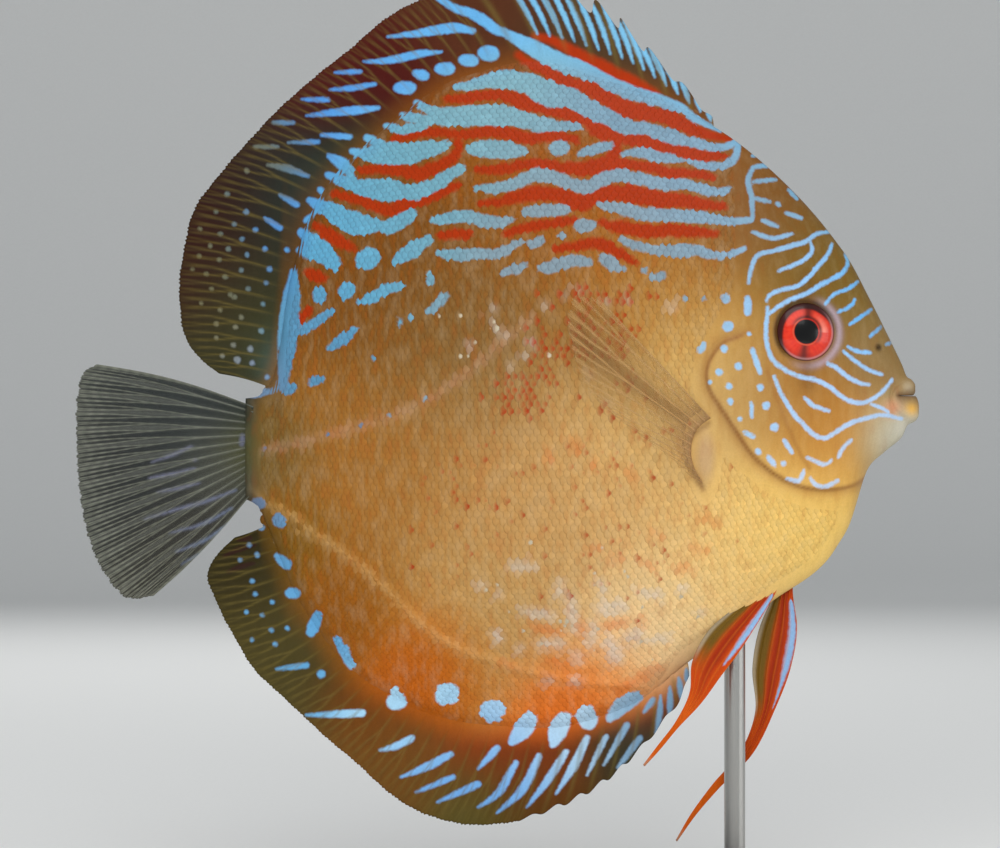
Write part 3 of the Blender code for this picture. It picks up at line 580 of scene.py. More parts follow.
# %% Light blue stripes of the back
BACK_STRIPES = [
    ((8, 10, 12, 9, 16, 18, 18, 14, 16, 14, 11, 9, 5), (438, -2), (457, 9), (470, 13), (483, 20),
     (495, 29), (507, 34), (520, 41), (533, 48), (551, 58), (564, 64), (576, 68), (589, 73),
     (601, 79), (614, 86), (626, 91), (640, 96), (654, 99), (669, 104), (682, 109), (695, 119),
     (709, 126), (720, 131)),
    ((9, 14, 21, 23, 27, 20, 18, 16, 14, 16, 13, 10, 8), (456, 87), (470, 86), (485, 82),
     (500, 80), (515, 81), (527, 83), (543, 92), (556, 97), (569, 98), (583, 106), (597, 113),
     (611, 120), (626, 128), (640, 129), (654, 132), (669, 137), (683, 141), (697, 144),
     (711, 148), (726, 147), (737, 141)),
    ((8, 8, 9), (738, 142), (735, 157), (726, 166), (711, 168), (697, 166), (688, 163)),
    ((8, 12, 20, 22, 21, 21, 18, 19, 16, 12, 8), (416, 103), (428, 109), (440, 117), (455, 118),
     (470, 117), (485, 116), (500, 117), (512, 118), (527, 122), (541, 126), (555, 127),
     (569, 128), (581, 128)),
    ((7, 12), (402, 115), (432, 123)), ((7, 9, 10), (386, 126), (400, 130), (425, 127)),
    ((8, 14, 21, 23, 22, 20, 15, 8), (352, 151), (369, 155), (383, 154), (397, 154), (411, 154),
     (426, 151), (440, 148), (450, 145)),
    (9, (367, 138), (385, 146)), ((14, 18, 20, 19, 14), (471, 150), (497, 151), (523, 153)),
    ((14, 18), (554, 152), (564, 149)), ((9, 12, 11), (580, 156), (596, 151), (611, 147)),
    ((8, 11, 12, 11, 7), (624, 156), (640, 154), (655, 158), (669, 160), (682, 162)),
    ((9, 13, 14, 20, 23, 15, 14, 15, 15, 11), (328, 175), (342, 181), (355, 186), (370, 189),
     (386, 191), (400, 192), (416, 194), (432, 188), (448, 178), (463, 169)),
    ((7, 13, 9), (329, 156), (341, 163), (354, 176)),
    ((10, 13, 14, 14, 13, 14, 14, 13, 13, 13, 12, 12, 10), (476, 190), (497, 190), (512, 187),
     (526, 181), (538, 177), (554, 180), (569, 185), (585, 189), (597, 184), (611, 178),
     (626, 178), (640, 181), (654, 184), (669, 187), (683, 186), (697, 189), (711, 194),
     (727, 192)),
    ((8, 14, 18, 22, 23, 20, 13), (309, 200), (321, 207), (334, 213), (347, 221), (360, 225),
     (373, 226), (384, 227)),
    ((12, 16, 15, 11), (388, 232), (397, 226), (406, 220), (415, 213)),
    ((9, 13, 12, 14, 13, 8), (434, 222), (452, 219), (468, 218), (482, 222), (496, 225),
     (513, 221)),
    ((12, 14, 13), (526, 215), (547, 213), (566, 212)),
    ((9, 13, 14, 14, 13, 13, 12, 9, 8), (598, 207), (611, 209), (626, 212), (640, 216),
     (655, 217), (683, 218), (711, 221), (730, 223), (748, 222)),
    ((12, 15, 13), (577, 229), (592, 227)),
    ((10, 16, 21, 18), (301, 232), (313, 242), (325, 254), (336, 265)),
    ((8, 12), (299, 250), (318, 258)), ((20, 24), (366, 262), (371, 259)),
    ((9, 15, 15, 10), (396, 263), (408, 255), (420, 247), (431, 240)),
    ((9, 12, 12, 11, 10, 8), (441, 255), (460, 257), (480, 256), (500, 255), (510, 250),
     (521, 243)),
    ((9, 12), (531, 247), (542, 242)), (6.5, (559, 239), (562, 236)),
    ((7, 11, 9, 12, 14, 12, 9, 9, 6), (618, 241), (627, 245), (643, 250), (663, 253), (676, 253),
     (697, 253), (712, 258), (726, 257), (742, 250)),
    ((11, 14, 12, 12, 13), (540, 270), (552, 269), (563, 265), (576, 263), (588, 265)),
    ((12, 14, 11, 8), (602, 260), (608, 264), (614, 269), (622, 271)),
    ((10, 12), (651, 280), (661, 278)), (7, (643, 271), (644, 273)), (5, (674, 287)),
    ((8, 10, 8), (502, 275), (514, 272), (526, 267)),
    ((10, 20, 22, 20, 16, 8), (294, 272), (293, 290), (291, 310), (289, 330), (287, 352),
     (283, 390)),
    ((8, 11, 8), (297, 334), (315, 324), (333, 312)), ((13, 15), (320, 292), (321, 299)),
    ((14, 16), (344, 294), (351, 289)),
    ((9, 12, 12, 9), (363, 303), (376, 297), (389, 290), (404, 287)),
    ((8, 12, 8), (331, 349), (344, 340), (357, 330)), ((8, 11), (312, 383), (322, 379)),
    ((7, 10, 9), (427, 314), (436, 309), (446, 296)), (8, (430, 276), (432, 284)),
    (5, (399, 318), (401, 328)), (5, (410, 316), (414, 320)), (4.5, (374, 356), (376, 361)),
    (6, (320, 189), (322, 192)), ((5, 7), (305, 221), (311, 217)),
    ((8, 10), (287, 393), (295, 387)),
]

# %% Light blue streaks of the two long fins and of the lower edge of the flank
DORSAL_STREAKS = [
    ((3, 6, 9, 11, 8), (388, 37), (415, 34), (438, 30), (455, 28), (473, 31)),
    ((3, 6, 8, 8, 4), (364, 62), (385, 61), (402, 58), (419, 54), (441, 52)),
    ((3, 6), (335, 73), (360, 72)), ((3, 6, 5), (330, 90), (355, 88), (375, 84)),
    ((3, 6), (302, 100), (328, 100)),
    ((3, 7, 9, 6), (307, 116), (340, 112), (362, 110), (378, 108)),
    ((3, 6), (288, 143), (318, 142)), ((5, 7), (322, 135), (350, 137)),
    ((4, 8, 5), (268, 165), (285, 168), (308, 176)), ((4, 7), (280, 195), (297, 205)),
    ((4, 7), (265, 218), (280, 228)), ((12, 14), (398, 88), (411, 88)),
    ((8, 12), (415, 73), (425, 76)), ((12, 14), (439, 69), (450, 69)),
    ((11, 13), (462, 60), (474, 61)), ((14, 17), (483, 53), (493, 54)), (5.5, (255, 230)),
    (5, (265, 249)), (5.5, (287, 250)), (4.5, (247, 255)), (4.5, (241, 270)), (5.5, (269, 269)),
    (4.5, (266, 283)), (5, (248, 289)), (5, (234, 297)), (4.5, (263, 304)), (5, (241, 317)),
    (5.5, (261, 331)), (6, (250, 349)), (7, (237, 360)), (5, (252, 363)), (5, (267, 377)),
    ((6, 9, 5), (206, 382), (230, 390), (256, 394), (283, 388)),
]
FIN_SPOTS = [
    (4.6, (274, 123), (294, 123)), (4.4, (255, 147), (278, 147)), (5, (247, 171)),
    (5, (227, 194)), (4.6, (216, 212)), (5, (246, 212)), (4.6, (234, 224)), (4.6, (220, 234)),
    (4.2, (200, 229)), (4.2, (210, 246)), (5, (228, 249)), (4.2, (199, 256)), (4.6, (219, 260)),
    (5, (242, 239)), (4, (192, 269)), (4.4, (206, 274)), (5, (225, 277)), (4.4, (211, 289)),
    (5, (230, 295)), (4.4, (220, 310)), (4, (201, 303)), (4.6, (216, 324)), (5, (235, 327)),
    (5, (233, 345)), (4.6, (216, 338)), (4.6, (222, 356)),
]
ANAL_STREAKS = [
    (17, (393, 702), (401, 700)), (22, (444, 695), (452, 692)), (23, (490, 711), (497, 710)),
    ((20, 18, 10), (531, 718), (524, 728), (512, 742)),
    ((19, 19, 10), (565, 718), (559, 728), (553, 744)), ((20, 20), (586, 712), (589, 722)),
    ((15, 17, 11), (638, 696), (625, 703), (610, 718)),
    ((3, 7, 8), (380, 750), (396, 746), (412, 738)),
    ((3, 8, 8), (401, 777), (428, 766), (451, 754)), ((3, 7), (416, 792), (453, 777)),
    ((3, 9), (437, 802), (478, 784)), ((3, 9), (478, 769), (497, 748)),
    ((3, 8, 7), (478, 807), (495, 796), (516, 763)),
    ((3, 9, 8), (497, 813), (522, 790), (539, 756)),
    ((3, 8, 8), (527, 807), (545, 784), (566, 752)),
    ((3, 9, 8), (556, 794), (573, 767), (587, 738)), ((3, 7), (587, 775), (606, 737)),
    ((3, 8), (604, 765), (627, 725)), ((4, 7), (644, 712), (653, 700)),
    ((3, 10), (306, 715), (362, 713)), ((3, 7), (277, 669), (307, 665)),
    ((4, 8), (618, 768), (640, 738)), (12, (256, 503), (262, 503)), (15, (280, 520)),
    (7, (261, 527)), ((8, 12), (277, 556), (288, 565)), (11, (289, 593), (297, 593)),
    (4.5, (272, 602)), ((11, 13), (319, 614), (311, 632)), ((9, 12), (338, 639), (352, 665)),
    ((12, 11), (396, 690), (400, 702)), (8, (321, 674)), (4.5, (287, 628)), (4.5, (271, 630)),
    (4.5, (275, 644)), (5, (252, 581)), (4.5, (255, 594)), (5, (257, 555)), (4.5, (249, 545)),
    (4, (240, 560)), (4, (262, 615)), (4, (246, 612)), (4, (252, 640)),
]
TAIL_STREAKS = [
    ((1, 3, 2), (152, 462), (175, 454), (192, 446)),
    ((1, 3, 1), (157, 492), (180, 488), (200, 483)),
    ((1, 3, 3, 2), (145, 519), (175, 510), (210, 500), (236, 490)),
    ((1, 3, 2), (170, 533), (205, 523), (232, 508)),
    ((2, 3, 1), (150, 478), (172, 474), (195, 468)), (3, (195, 460)), (5, (243, 436), (242, 444)),
    ((1, 3, 1), (176, 552), (205, 540), (228, 524)), ((1, 2), (182, 564), (214, 546)),
]
PORES = [
    (5.5, (265, 449)), (4.5, (363, 426)), (4.5, (391, 415)), (3.6, (330, 434)), (3.6, (428, 400)),
]

# %% Soft clouds of pale lilac and of orange on the lower flank
PALE_CLOUDS = [
    (9, (526, 610), (552, 613)), (9, (572, 598), (574, 628)), (10, (600, 608), (622, 606)),
    (8, (593, 622), (592, 644)), ((15, 11), (610, 642), (619, 660)), (13, (630, 636), (640, 634)),
    (9, (540, 644), (562, 642)), (10, (497, 633), (499, 638)), (7, (520, 646)),
    (8, (576, 652), (580, 660)), (7, (549, 678)), (7, (572, 682), (580, 680)), (5.5, (482, 585)),
    (5, (499, 594)), (6, (512, 566), (534, 565)), (6, (560, 580), (562, 596)), (7, (682, 588)),
    (6, (640, 590), (660, 596)), (6, (600, 580), (604, 590)), (5, (650, 640), (668, 636)),
    (5, (700, 610)), (4, (470, 345)), (4, (505, 338)), (4.5, (530, 342), (534, 350)),
    (4, (495, 310)), (4, (563, 298)), (4, (578, 292)), (5, (605, 304)), (4, (625, 302)),
    (4, (524, 358)), (4, (605, 402)), (3.5, (510, 366)), (3.5, (497, 332)), (4, (545, 305)),
    (4, (672, 310)), (3, (590, 376)),
]
ORANGE_CLOUDS = [
    (7, (532, 625), (562, 632)), (8, (603, 625), (626, 620)), (6, (582, 622), (582, 634)),
    (6, (642, 616), (644, 624)), (6, (548, 660), (570, 662)), (6, (676, 570), (690, 568)),
    (6, (690, 545), (706, 550)), (5, (640, 560), (652, 566)), (5, (610, 560), (622, 556)),
    (5, (700, 515), (715, 522)), (5, (650, 530), (660, 538)), (4, (590, 545), (600, 548)),
    (9, (620, 690), (660, 668)), (5, (500, 660), (520, 668)), (5, (575, 440), (578, 452)),
    (5, (548, 450), (550, 462)), (5, (592, 460), (594, 470)), (5, (628, 470), (632, 478)),
]

# %% Deep red bands between the stripes, and dark dashes on the anal fin
RED_BANDS = [
    ((6, 8, 10, 11, 10, 6), (535, 36), (556, 42), (567, 48), (583, 57), (601, 66), (618, 75),
     (636, 83), (656, 94)),
    ((6, 9, 11, 10, 12, 15, 15, 16, 14, 14, 12, 9, 5), (518, 55), (532, 65), (545, 69), (558, 79),
     (582, 86), (595, 92), (607, 99), (622, 108), (640, 113), (655, 115), (669, 119), (683, 125),
     (697, 132), (711, 136), (730, 139)),
    ((7, 9, 8, 10, 13, 13, 11, 11, 12), (447, 100), (469, 99), (484, 96), (498, 96), (511, 98),
     (526, 104), (540, 107), (555, 112), (569, 116), (585, 120), (596, 126)),
    ((3, 9), (534, 88), (534, 102)), ((14, 18, 12), (592, 128), (601, 131), (612, 137)),
    ((8, 13, 11, 12, 11, 12, 10, 6), (616, 138), (627, 141), (640, 142), (655, 146), (669, 149),
     (683, 153), (697, 156), (725, 158)),
    ((7, 9, 8), (618, 140), (616, 152), (608, 162)),
    ((8, 8, 7, 7, 7, 10, 12, 11, 9, 10, 8), (395, 139), (410, 137), (424, 134), (440, 133),
     (456, 135), (470, 135), (485, 133), (499, 133), (513, 136), (528, 140), (545, 138),
     (562, 139), (576, 141)),
    ((8, 8, 9, 10, 12, 12, 10, 9, 8, 7), (460, 137), (459, 150), (454, 159), (446, 165),
     (434, 170), (420, 175), (404, 172), (390, 170), (376, 170), (361, 171)),
    ((7, 9, 9, 11, 10, 8, 7), (335, 194), (352, 199), (368, 203), (380, 209), (390, 212),
     (402, 207), (420, 202), (440, 196), (460, 186)),
    ((7, 10, 9, 7, 8, 12, 15, 11, 8, 9, 9, 9, 7), (478, 171), (497, 172), (512, 169), (526, 166),
     (542, 166), (560, 169), (576, 171), (588, 171), (600, 168), (618, 166), (640, 168),
     (655, 171), (670, 175), (690, 175), (712, 179)),
    ((6, 8, 12, 13, 12, 16, 13, 15, 17, 15, 14, 11, 8), (480, 205), (499, 204), (514, 200),
     (530, 196), (547, 196), (565, 199), (582, 205), (597, 198), (612, 195), (640, 198),
     (655, 201), (683, 203), (700, 206), (722, 209)),
    ((7, 12, 12, 12, 12, 10, 6), (600, 224), (611, 228), (626, 230), (640, 233), (669, 233),
     (690, 234), (715, 236)),
    ((5, 8, 8, 6), (505, 236), (530, 229), (560, 225), (574, 222)),
    ((6, 8, 6), (440, 238), (456, 236), (471, 236)),
    ((6, 8, 9, 10, 6), (556, 251), (575, 248), (600, 246), (616, 254), (634, 264)),
    ((6, 10, 11, 9, 6), (316, 226), (327, 233), (336, 239), (345, 245), (356, 250)),
    ((8, 10, 6), (308, 273), (316, 276), (326, 279)), ((4, 9), (298, 325), (310, 311)),
]
BAND_SPREAD = 1.2
DARK_DASHES = [
    ((4, 6, 4), (228, 536), (240, 531), (254, 528)),
    ((4, 6, 4), (224, 556), (240, 549), (255, 545)),
    ((4, 6, 4), (228, 572), (240, 567), (254, 563)), ((4, 6), (238, 540), (250, 538)),
]

# %% Streaks worked out ray by ray, at the front of both long fins
DORSAL_TIPS = [
    (40.4, 58.4), (37.4, 62), (33.4, 66.4), (26.6, 73.4), (20, 79.8), (12.4, 83), (2, 85.2),
    (-9.5, 82.8), (-19, 79), (-29.4, 70.7), (-39.9, 62), (-47.5, 54.3), (-52.8, 48.2),
    (-57.9, 41.6), (-60.4, 33), (-61.2, 23.5), (-60.2, 16.8), (-57, 12.2), (-53.6, 9.6),
]
ANAL_TIPS = [
    (36, -47.8), (34.4, -52.4), (31.4, -56.6), (27.2, -61.6), (19.6, -68.6), (10.4, -73.4),
    (0, -76.2), (-10.4, -75.6), (-19, -71.8), (-27, -64.8), (-34.2, -58.6), (-41.2, -52),
    (-46.4, -47.2), (-50.4, -41), (-53.8, -34.4), (-55.8, -28.4), (-54.2, -25.2), (-50.6, -21.6),
]
DORSAL_ROOT, ANAL_ROOT = (41.2, -44.0), (36.1, -44.4)
DORSAL_SHARE, DORSAL_SPINES, DORSAL_RAYS = 0.36, 10, 31
ANAL_SHARE, ANAL_SPINES, ANAL_RAYS = 0.30, 9, 29
FIN_BOW = 0.035
LEAN, LEAN_START = 0.045, 0.12
EDGE_SAMPLES = 1200


def edge_places(edge, ends, shares, sink):
    """Places on the body's edge between two x, evenly along its length, moved by sink along
    the normal towards the body."""
    x = np.linspace(ends[0], ends[1], EDGE_SAMPLES)
    line = np.stack([x, smooth(x, edge)], axis=1)
    lengths = np.concatenate([[0], np.cumsum(np.linalg.norm(np.diff(line, axis=0), axis=1))])
    at = np.asarray(shares) * lengths[-1]
    place = np.stack([np.interp(at, lengths, line[:, k]) for k in (0, 1)], axis=1)
    tangent = np.gradient(line, lengths, axis=0)
    tangent = np.stack([np.interp(at, lengths, tangent[:, k]) for k in (0, 1)], axis=1)
    tangent /= np.linalg.norm(tangent, axis=1, keepdims=True)
    inward = np.stack([tangent[:, 1], -tangent[:, 0]], axis=1) * -np.sign(line[EDGE_SAMPLES // 2, 1])
    return place + sink * inward


def ray_places(root, tip, out):
    """Places on each ray at the shares out: root plus out times the way to the tip, bowed
    backwards by a sine of out."""
    across = tip - root
    backward = np.stack([across[:, 1], -across[:, 0]], axis=1) * np.sign(tip[len(tip) // 2, 1])
    place = root[:, None, :] + out[..., None] * across[:, None, :]
    return place + (FIN_BOW * np.sin(np.pi * out))[..., None] * backward[:, None, :]


def leaned(shares):
    """Share of the outline where the ray from a root share ends: a little further back, by
    lean (1 - share), which starts smoothly at the front end."""
    return shares + LEAN * ease(shares / LEAN_START) * (1 - shares)


def spine_streaks(edge, ends, tips, share, spines, start, end, width):
    """One light streak beside each spine, from one share of its length to another, with a
    width that swells in the middle."""
    runs = (np.arange(spines * 2) + 0.5) / (spines * 2) * share
    root, tip = edge_places(edge, ends, runs, 0.0), along(tips, leaned(runs))
    shares = np.linspace(start, end, 4)[None, :] * np.ones((len(runs), 1))
    rays = ray_places(root, tip, shares)
    return [
        ((0.5 * width, width, width, 0.4 * width), *zip(*picture_place(ray[:, 0], ray[:, 1])))
        for ray in rays
    ]


front_streaks = spine_streaks(
    BACK_EDGE, DORSAL_ROOT, DORSAL_TIPS, share=DORSAL_SHARE * 0.8, spines=8, start=0.28, end=1.0,
    width=5.2,
)
front_streaks += spine_streaks(
    BELLY_EDGE, ANAL_ROOT, ANAL_TIPS, share=0.08, spines=2, start=0.2, end=1.0, width=6.0
)
blue_map = paint(
    FACE_LINES + GILL_SPOTS + NAPE_LINES + BACK_STRIPES + DORSAL_STREAKS + FIN_SPOTS + ANAL_STREAKS
    + TAIL_STREAKS + PORES + front_streaks
)
red_map, dash_map = paint(RED_BANDS) - BAND_SPREAD, paint(DARK_DASHES)
pale_map, orange_map = paint(PALE_CLOUDS), paint(ORANGE_CLOUDS)
print("share of the map in blue:", round(float((blue_map < 0).mean()), 3))

# %% [markdown]
# ## Ground colours
#
# Under the stripes the fish is washed in warm ground colours that run into one another: brown at
# the nape, tan on the flank, pale yellow at the chest, deep orange along the belly fin. Each
# wash is laid with a name, a place, how far it spreads and a colour. A vertex takes the mean of
# all washes, weighted by a bell of its distance, as wet paint would blend.

# %% Washes: picture place, spread in pixels and colour
BODY_WASHES = {
    "nape": (755, 205, 42, "714c24"),
    "forehead": (818, 275, 40, "6e5622"),
    "snout": (872, 352, 26, "82693f"),
    "cheek": (782, 385, 40, "8c5c26"),
    "jaw": (825, 440, 36, "b47a33"),
    "chin": (886, 438, 20, "b2bab4"),
    "gill cover": (733, 400, 30, "a88854"),
    "chest": (800, 530, 50, "e7c269"),
    "breast": (735, 570, 48, "e2ba72"),
    "belly": (655, 630, 50, "e8c997"),
    "shoulder": (680, 380, 55, "d5b36c"),
    "fin side": (620, 470, 60, "c89e60"),
    "flank": (530, 480, 70, "b68a52"),
    "rear flank": (370, 470, 70, "946224"),
    "stalk": (268, 450, 26, "5a4b22"),
    "upper flank": (480, 340, 60, "74592f"),
    "upper front": (650, 300, 50, "966a30"),
    "back": (590, 210, 80, "8e5010"),
    "back rear": (380, 260, 70, "6c400e"),
    "crest": (580, 90, 50, "78420f"),
    "low flank": (490, 590, 50, "b68f54"),
    "belly band": (430, 660, 30, "b25200"),
    "belly band front": (590, 706, 36, "dc6414"),
    "belly band rear": (345, 600, 30, "884c02"),
    "rear corner": (290, 540, 24, "6a4a01"),
}
DORSAL_WASHES = {
    "front": (620, 60, 50, "44301c"),
    "crest edge": (470, -5, 40, "4a2612"),
    "rear edge": (330, 60, 50, "420e08"),
    "outer rear": (215, 205, 60, "2a0c06"),
    "inner": (305, 200, 45, "1c3630"),
    "root": (365, 165, 22, "1c3a22"),
    "lower inner": (265, 300, 40, "32351c"),
    "lower root": (292, 360, 20, "40585a"),
    "lower edge": (215, 375, 26, "2e2c18"),
}
ANAL_WASHES = {
    "front": (645, 740, 36, "282e24"),
    "front root": (640, 690, 24, "bc441a"),
    "middle": (540, 775, 40, "573811"),
    "root": (500, 705, 38, "983006"),
    "root middle": (548, 750, 24, "7e2c08"),
    "rear middle": (400, 750, 40, "654115"),
    "rear root": (380, 690, 28, "6e3404"),
    "outer": (470, 815, 24, "524c20"),
    "olive": (275, 640, 50, "413919"),
    "upper olive": (235, 560, 34, "241e08"),
}
TAIL_WASHES = {
    "stalk": (243, 450, 14, "4c4c24"),
    "root": (222, 462, 26, "444438"),
    "upper": (165, 405, 45, "141c1a"),
    "tip": (100, 470, 45, "0c0f10"),
    "lower": (185, 560, 40, "221e12"),
}
STRIPE_WASHES = {
    "rear": (330, 215, 45, "549abd"),
    "rear middle": (400, 185, 45, "679aaa"),
    "crest": (500, 80, 50, "739fac"),
    "crest front": (620, 110, 40, "6e8fa4"),
    "middle": (600, 250, 70, "7a8d98"),
    "front": (710, 180, 45, "7697ae"),
    "rear edge": (287, 330, 30, "5288aa"),
    "face": (790, 300, 34, "8db6dc"),
    "forehead": (862, 310, 26, "5aa6de"),
    "cheek": (825, 400, 40, "9cb9da"),
    "jaw": (835, 460, 30, "b4c2d6"),
    "gill cover": (730, 380, 34, "93b8d6"),
    "belly band": (560, 708, 46, "b5d3e7"),
    "belly band rear": (430, 695, 34, "a3cde5"),
    "belly fin": (480, 790, 45, "6aa2dc"),
    "belly fin front": (650, 735, 30, "6488a6"),
    "belly fin rear": (285, 590, 45, "5a98c4"),
    "tail": (190, 500, 50, "66687c"),
}
DORSAL_STRIPE_WASHES = {
    "outer": (212, 265, 30, "605c42"),
    "outer low": (222, 340, 22, "6c6850"),
    "outer high": (262, 150, 24, "625a3e"),
    "inner": (275, 245, 26, "4a84c4"),
    "middle": (330, 110, 44, "4682c6"),
    "crest": (430, 45, 44, "5a9cce"),
    "spines": (620, 50, 60, "6eaacc"),
    "root": (372, 135, 24, "6fb2d4"),
    "low": (250, 368, 18, "7484a0"),
    "root rear": (288, 330, 16, "5b93b2"),
}
LEAST_WEIGHT, WASH_SPREAD = 1e-6, 1.5
LONG_FIN_GROUNDS = (
    (BACK_EDGE, DORSAL_ROOT, 1, DORSAL_WASHES), (BELLY_EDGE, ANAL_ROOT, -1, ANAL_WASHES),
)
ROOT_BLEND, TAIL_BLEND, CLOUD_SOFTNESS = 9.0, 4.0, 2.4
STALK_SPAN = (-17.5, 8.0)


def washed(x, z, washes):
    """Linear colour at each place: the mean of the washes' sRGB colours, each weighted by a
    bell of its distance, turned to linear at the end."""
    px, py = picture_place(x, z)
    total = np.full(np.shape(px), LEAST_WEIGHT)
    mixed = LEAST_WEIGHT * np.ones((*np.shape(px), 3)) * 0.5
    for at_x, at_y, spread, code in washes.values():
        weight = bell(np.hypot(px - at_x, py - at_y), WASH_SPREAD * spread)
        total = total + weight
        mixed = mixed + weight[..., None] * hex_shares(code)
    return linear(mixed / total[..., None])


def blended(one, other, share):
    """Two linear colours mixed by a share from 0, the first, to 1, the other."""
    return one + share[..., None] * (other - one)


def tinted(paint_colour, share, code):
    """A linear colour moved by a share towards a hex colour."""
    return blended(paint_colour, linear(hex_shares(code)), share)


# %% [markdown]
# Some parts of the head have colours of their own: a yellow lower lip, a pinkish fold behind
# the mouth and a brown line along the gill cover. A dark ring round the eye, darkest above, is a
# painted shadow of the eye's rim, and painted shade also darkens the skin beside the gill cover's
# raised margin, the nostril's pit and the crease round the breast fin's lobe. They are soft, so
# they are tints of the ground colour, each a bell of the distance to its place.

# %% Tints of the ground colour: of places in the picture, and beside lines in millimetres
CLOUDS = ((orange_map, 0.6, "cc5e1c"), (pale_map, 0.7, "c6bcb0"))
MOUTH_TINTS = (
    ((911, 408), 7.5, 0.95, "e2ac46"), ((907, 387), 6.0, 0.85, "aa9a7e"),
    ((890, 408), 8.5, 0.8, "c98862"), ((902, 428), 9.0, 0.8, "b9b4a4"),
    ((895, 392), 4.0, 0.7, "8a6a48"), ((884, 392), 6.0, 0.5, "94845a"),
)
LINE_TINTS = {
    "eye's shadow": (5.7, 0.55, 0.8, "2c1a12"),
    "eye ring": (6.5, 0.7, 0.7, "a898a6"),
    "gill margin": (0, 0.42, 0.55, "7c3d1c"),
    "gill shade": (0.6, 1.1, 0.35, "8a5a2c"),
    "cheek bone": (0, 0.45, 0.4, "8a5628"),
    # The nostril is tinted nearly black: painted shade in its pit.
    "nostril": (0, 0.62, 0.9, "2c1c12"),
    # A dark arc round the breast fin's fleshy lobe: painted shade in the crease.
    "lobe's crease shade": (0, 0.55, 0.6, "6e4424"),
    "belly ridge": (0, 0.9, 0.32, "dcae6c"),
    "lateral line": (0, 0.9, 0.3, "c09478"),
}
EYE_BAR, EYE_BAR_PX, EYE_BAR_WIDTH = (0.45, "5a3c1e"), 803, 9.0
LOBE_TINT, LOBE_TINT_OVAL = (0.5, "a88a72"), (2.0, 5.6)
STALK_TINT, STALK_TINT_PLACE, STALK_TINT_OVAL = (0.8, "4b5430"), (244, 445), (9, 34)


def layered(base, layers):
    """A linear colour after each layer, a share and a hex colour, is laid over it in turn."""
    for share, code in layers:
        base = tinted(base, share, code)
    return base


def line_tint(name, distance, cover=1.0):
    """A named tint as a layer: its share exp(-((d - at) / width)²), times a cover."""
    at, width, share, code = LINE_TINTS[name]
    return share * cover * bell(distance - at, width), code


def ground(x, z):
    """The body's ground colour with its soft tints and clouds."""
    px, py = picture_place(x, z)
    eye = around(x, z, EYE_CENTRE)
    turn = np.arctan2(z - EYE_CENTRE[1], x - EYE_CENTRE[0])
    margin, side, passed = beside(x, z, GILL_PATH)
    begun = ease(passed / 0.1)
    ridge, _, ridge_passed = beside(x, z, RIDGE_PATH)
    bar = bell(px - EYE_BAR_PX, EYE_BAR_WIDTH) * ease((eye - 5.0) / 1.2) * ease((13.5 - eye) / 5)
    lobe = ease(1.3 - around(x, z, LOBE, *LOBE_TINT_OVAL))
    stalk = bell(around(px, py, STALK_TINT_PLACE, *STALK_TINT_OVAL), 1.0)
    layers = [
        (share * ease(0.5 - read_map(cloud_map, x, z) / CLOUD_SOFTNESS), code)
        for cloud_map, share, code in CLOUDS
    ]
    layers += [
        (share * bell(around(px, py, place), spread), code)
        for place, spread, share, code in MOUTH_TINTS
    ]
    layers += [
        line_tint("eye's shadow", eye, 0.25 + 0.75 * ease(0.75 + np.cos(turn - 2.2))),
        line_tint("eye ring", eye, ease(0.35 + np.cos(turn + 0.35))),
        (EYE_BAR[0] * bar, EYE_BAR[1]),
        line_tint("gill margin", margin, begun),
        line_tint("gill shade", margin, begun * (side > 0)),
        line_tint("cheek bone", beside(x, z, CHEEK_PATH)[0]),
        line_tint("nostril", around(x, z, NOSTRIL)),
        line_tint("lobe's crease shade", beside(x, z, LOBE_PATH)[0]),
        (LOBE_TINT[0] * lobe, LOBE_TINT[1]),
        line_tint("belly ridge", ridge, ease((1 - ridge_passed) / 0.5)),
        line_tint("lateral line", beside(x, z, LATERAL_PATH)[0]),
        (STALK_TINT[0] * stalk, STALK_TINT[1]),
    ]
    return layered(washed(x, z, BODY_WASHES), layers)


def whole_ground(x, z):
    """The body's ground colour, running into the fins' own washes across their roots."""
    paint_colour = ground(x, z)
    for edge, ends, way, washes in LONG_FIN_GROUNDS:
        share = ease(0.5 + outside(x, z, edge, way) / ROOT_BLEND) * ease((ends[0] + 2 - x) / 4)
        paint_colour = blended(paint_colour, washed(x, z, washes), share)
    stalk = ease((z - STALK_SPAN[0]) / 2) * ease((STALK_SPAN[1] - z) / 2)
    share = stalk * ease((TAIL_ROOT_X + TAIL_BLEND - x) / TAIL_BLEND)
    return blended(paint_colour, washed(x, z, TAIL_WASHES), share)


def whole_stripes(x, z):
    """The stripes' colour on body and fins. The back fin has washes of its own."""
    share = ease(0.5 + outside(x, z, BACK_EDGE, 1) / ROOT_BLEND)
    return blended(washed(x, z, STRIPE_WASHES), washed(x, z, DORSAL_STRIPE_WASHES), share)


def mark(made, x, z, ground_colour, blue=None, red=None, stripe_colour=None):
    """Stores the ground colour, the distances to the blue and red strokes and the colour of
    the blue ones on a piece, which is all that the painted finishes read."""
    give(made, "ground", ground_colour)
    give(made, "blue", read_map(blue_map, x, z) if blue is None else blue)
    give(made, "red", read_map(red_map, x, z) if red is None else red)
    give(made, "stripe", whole_stripes(x, z) if stripe_colour is None else stripe_colour)
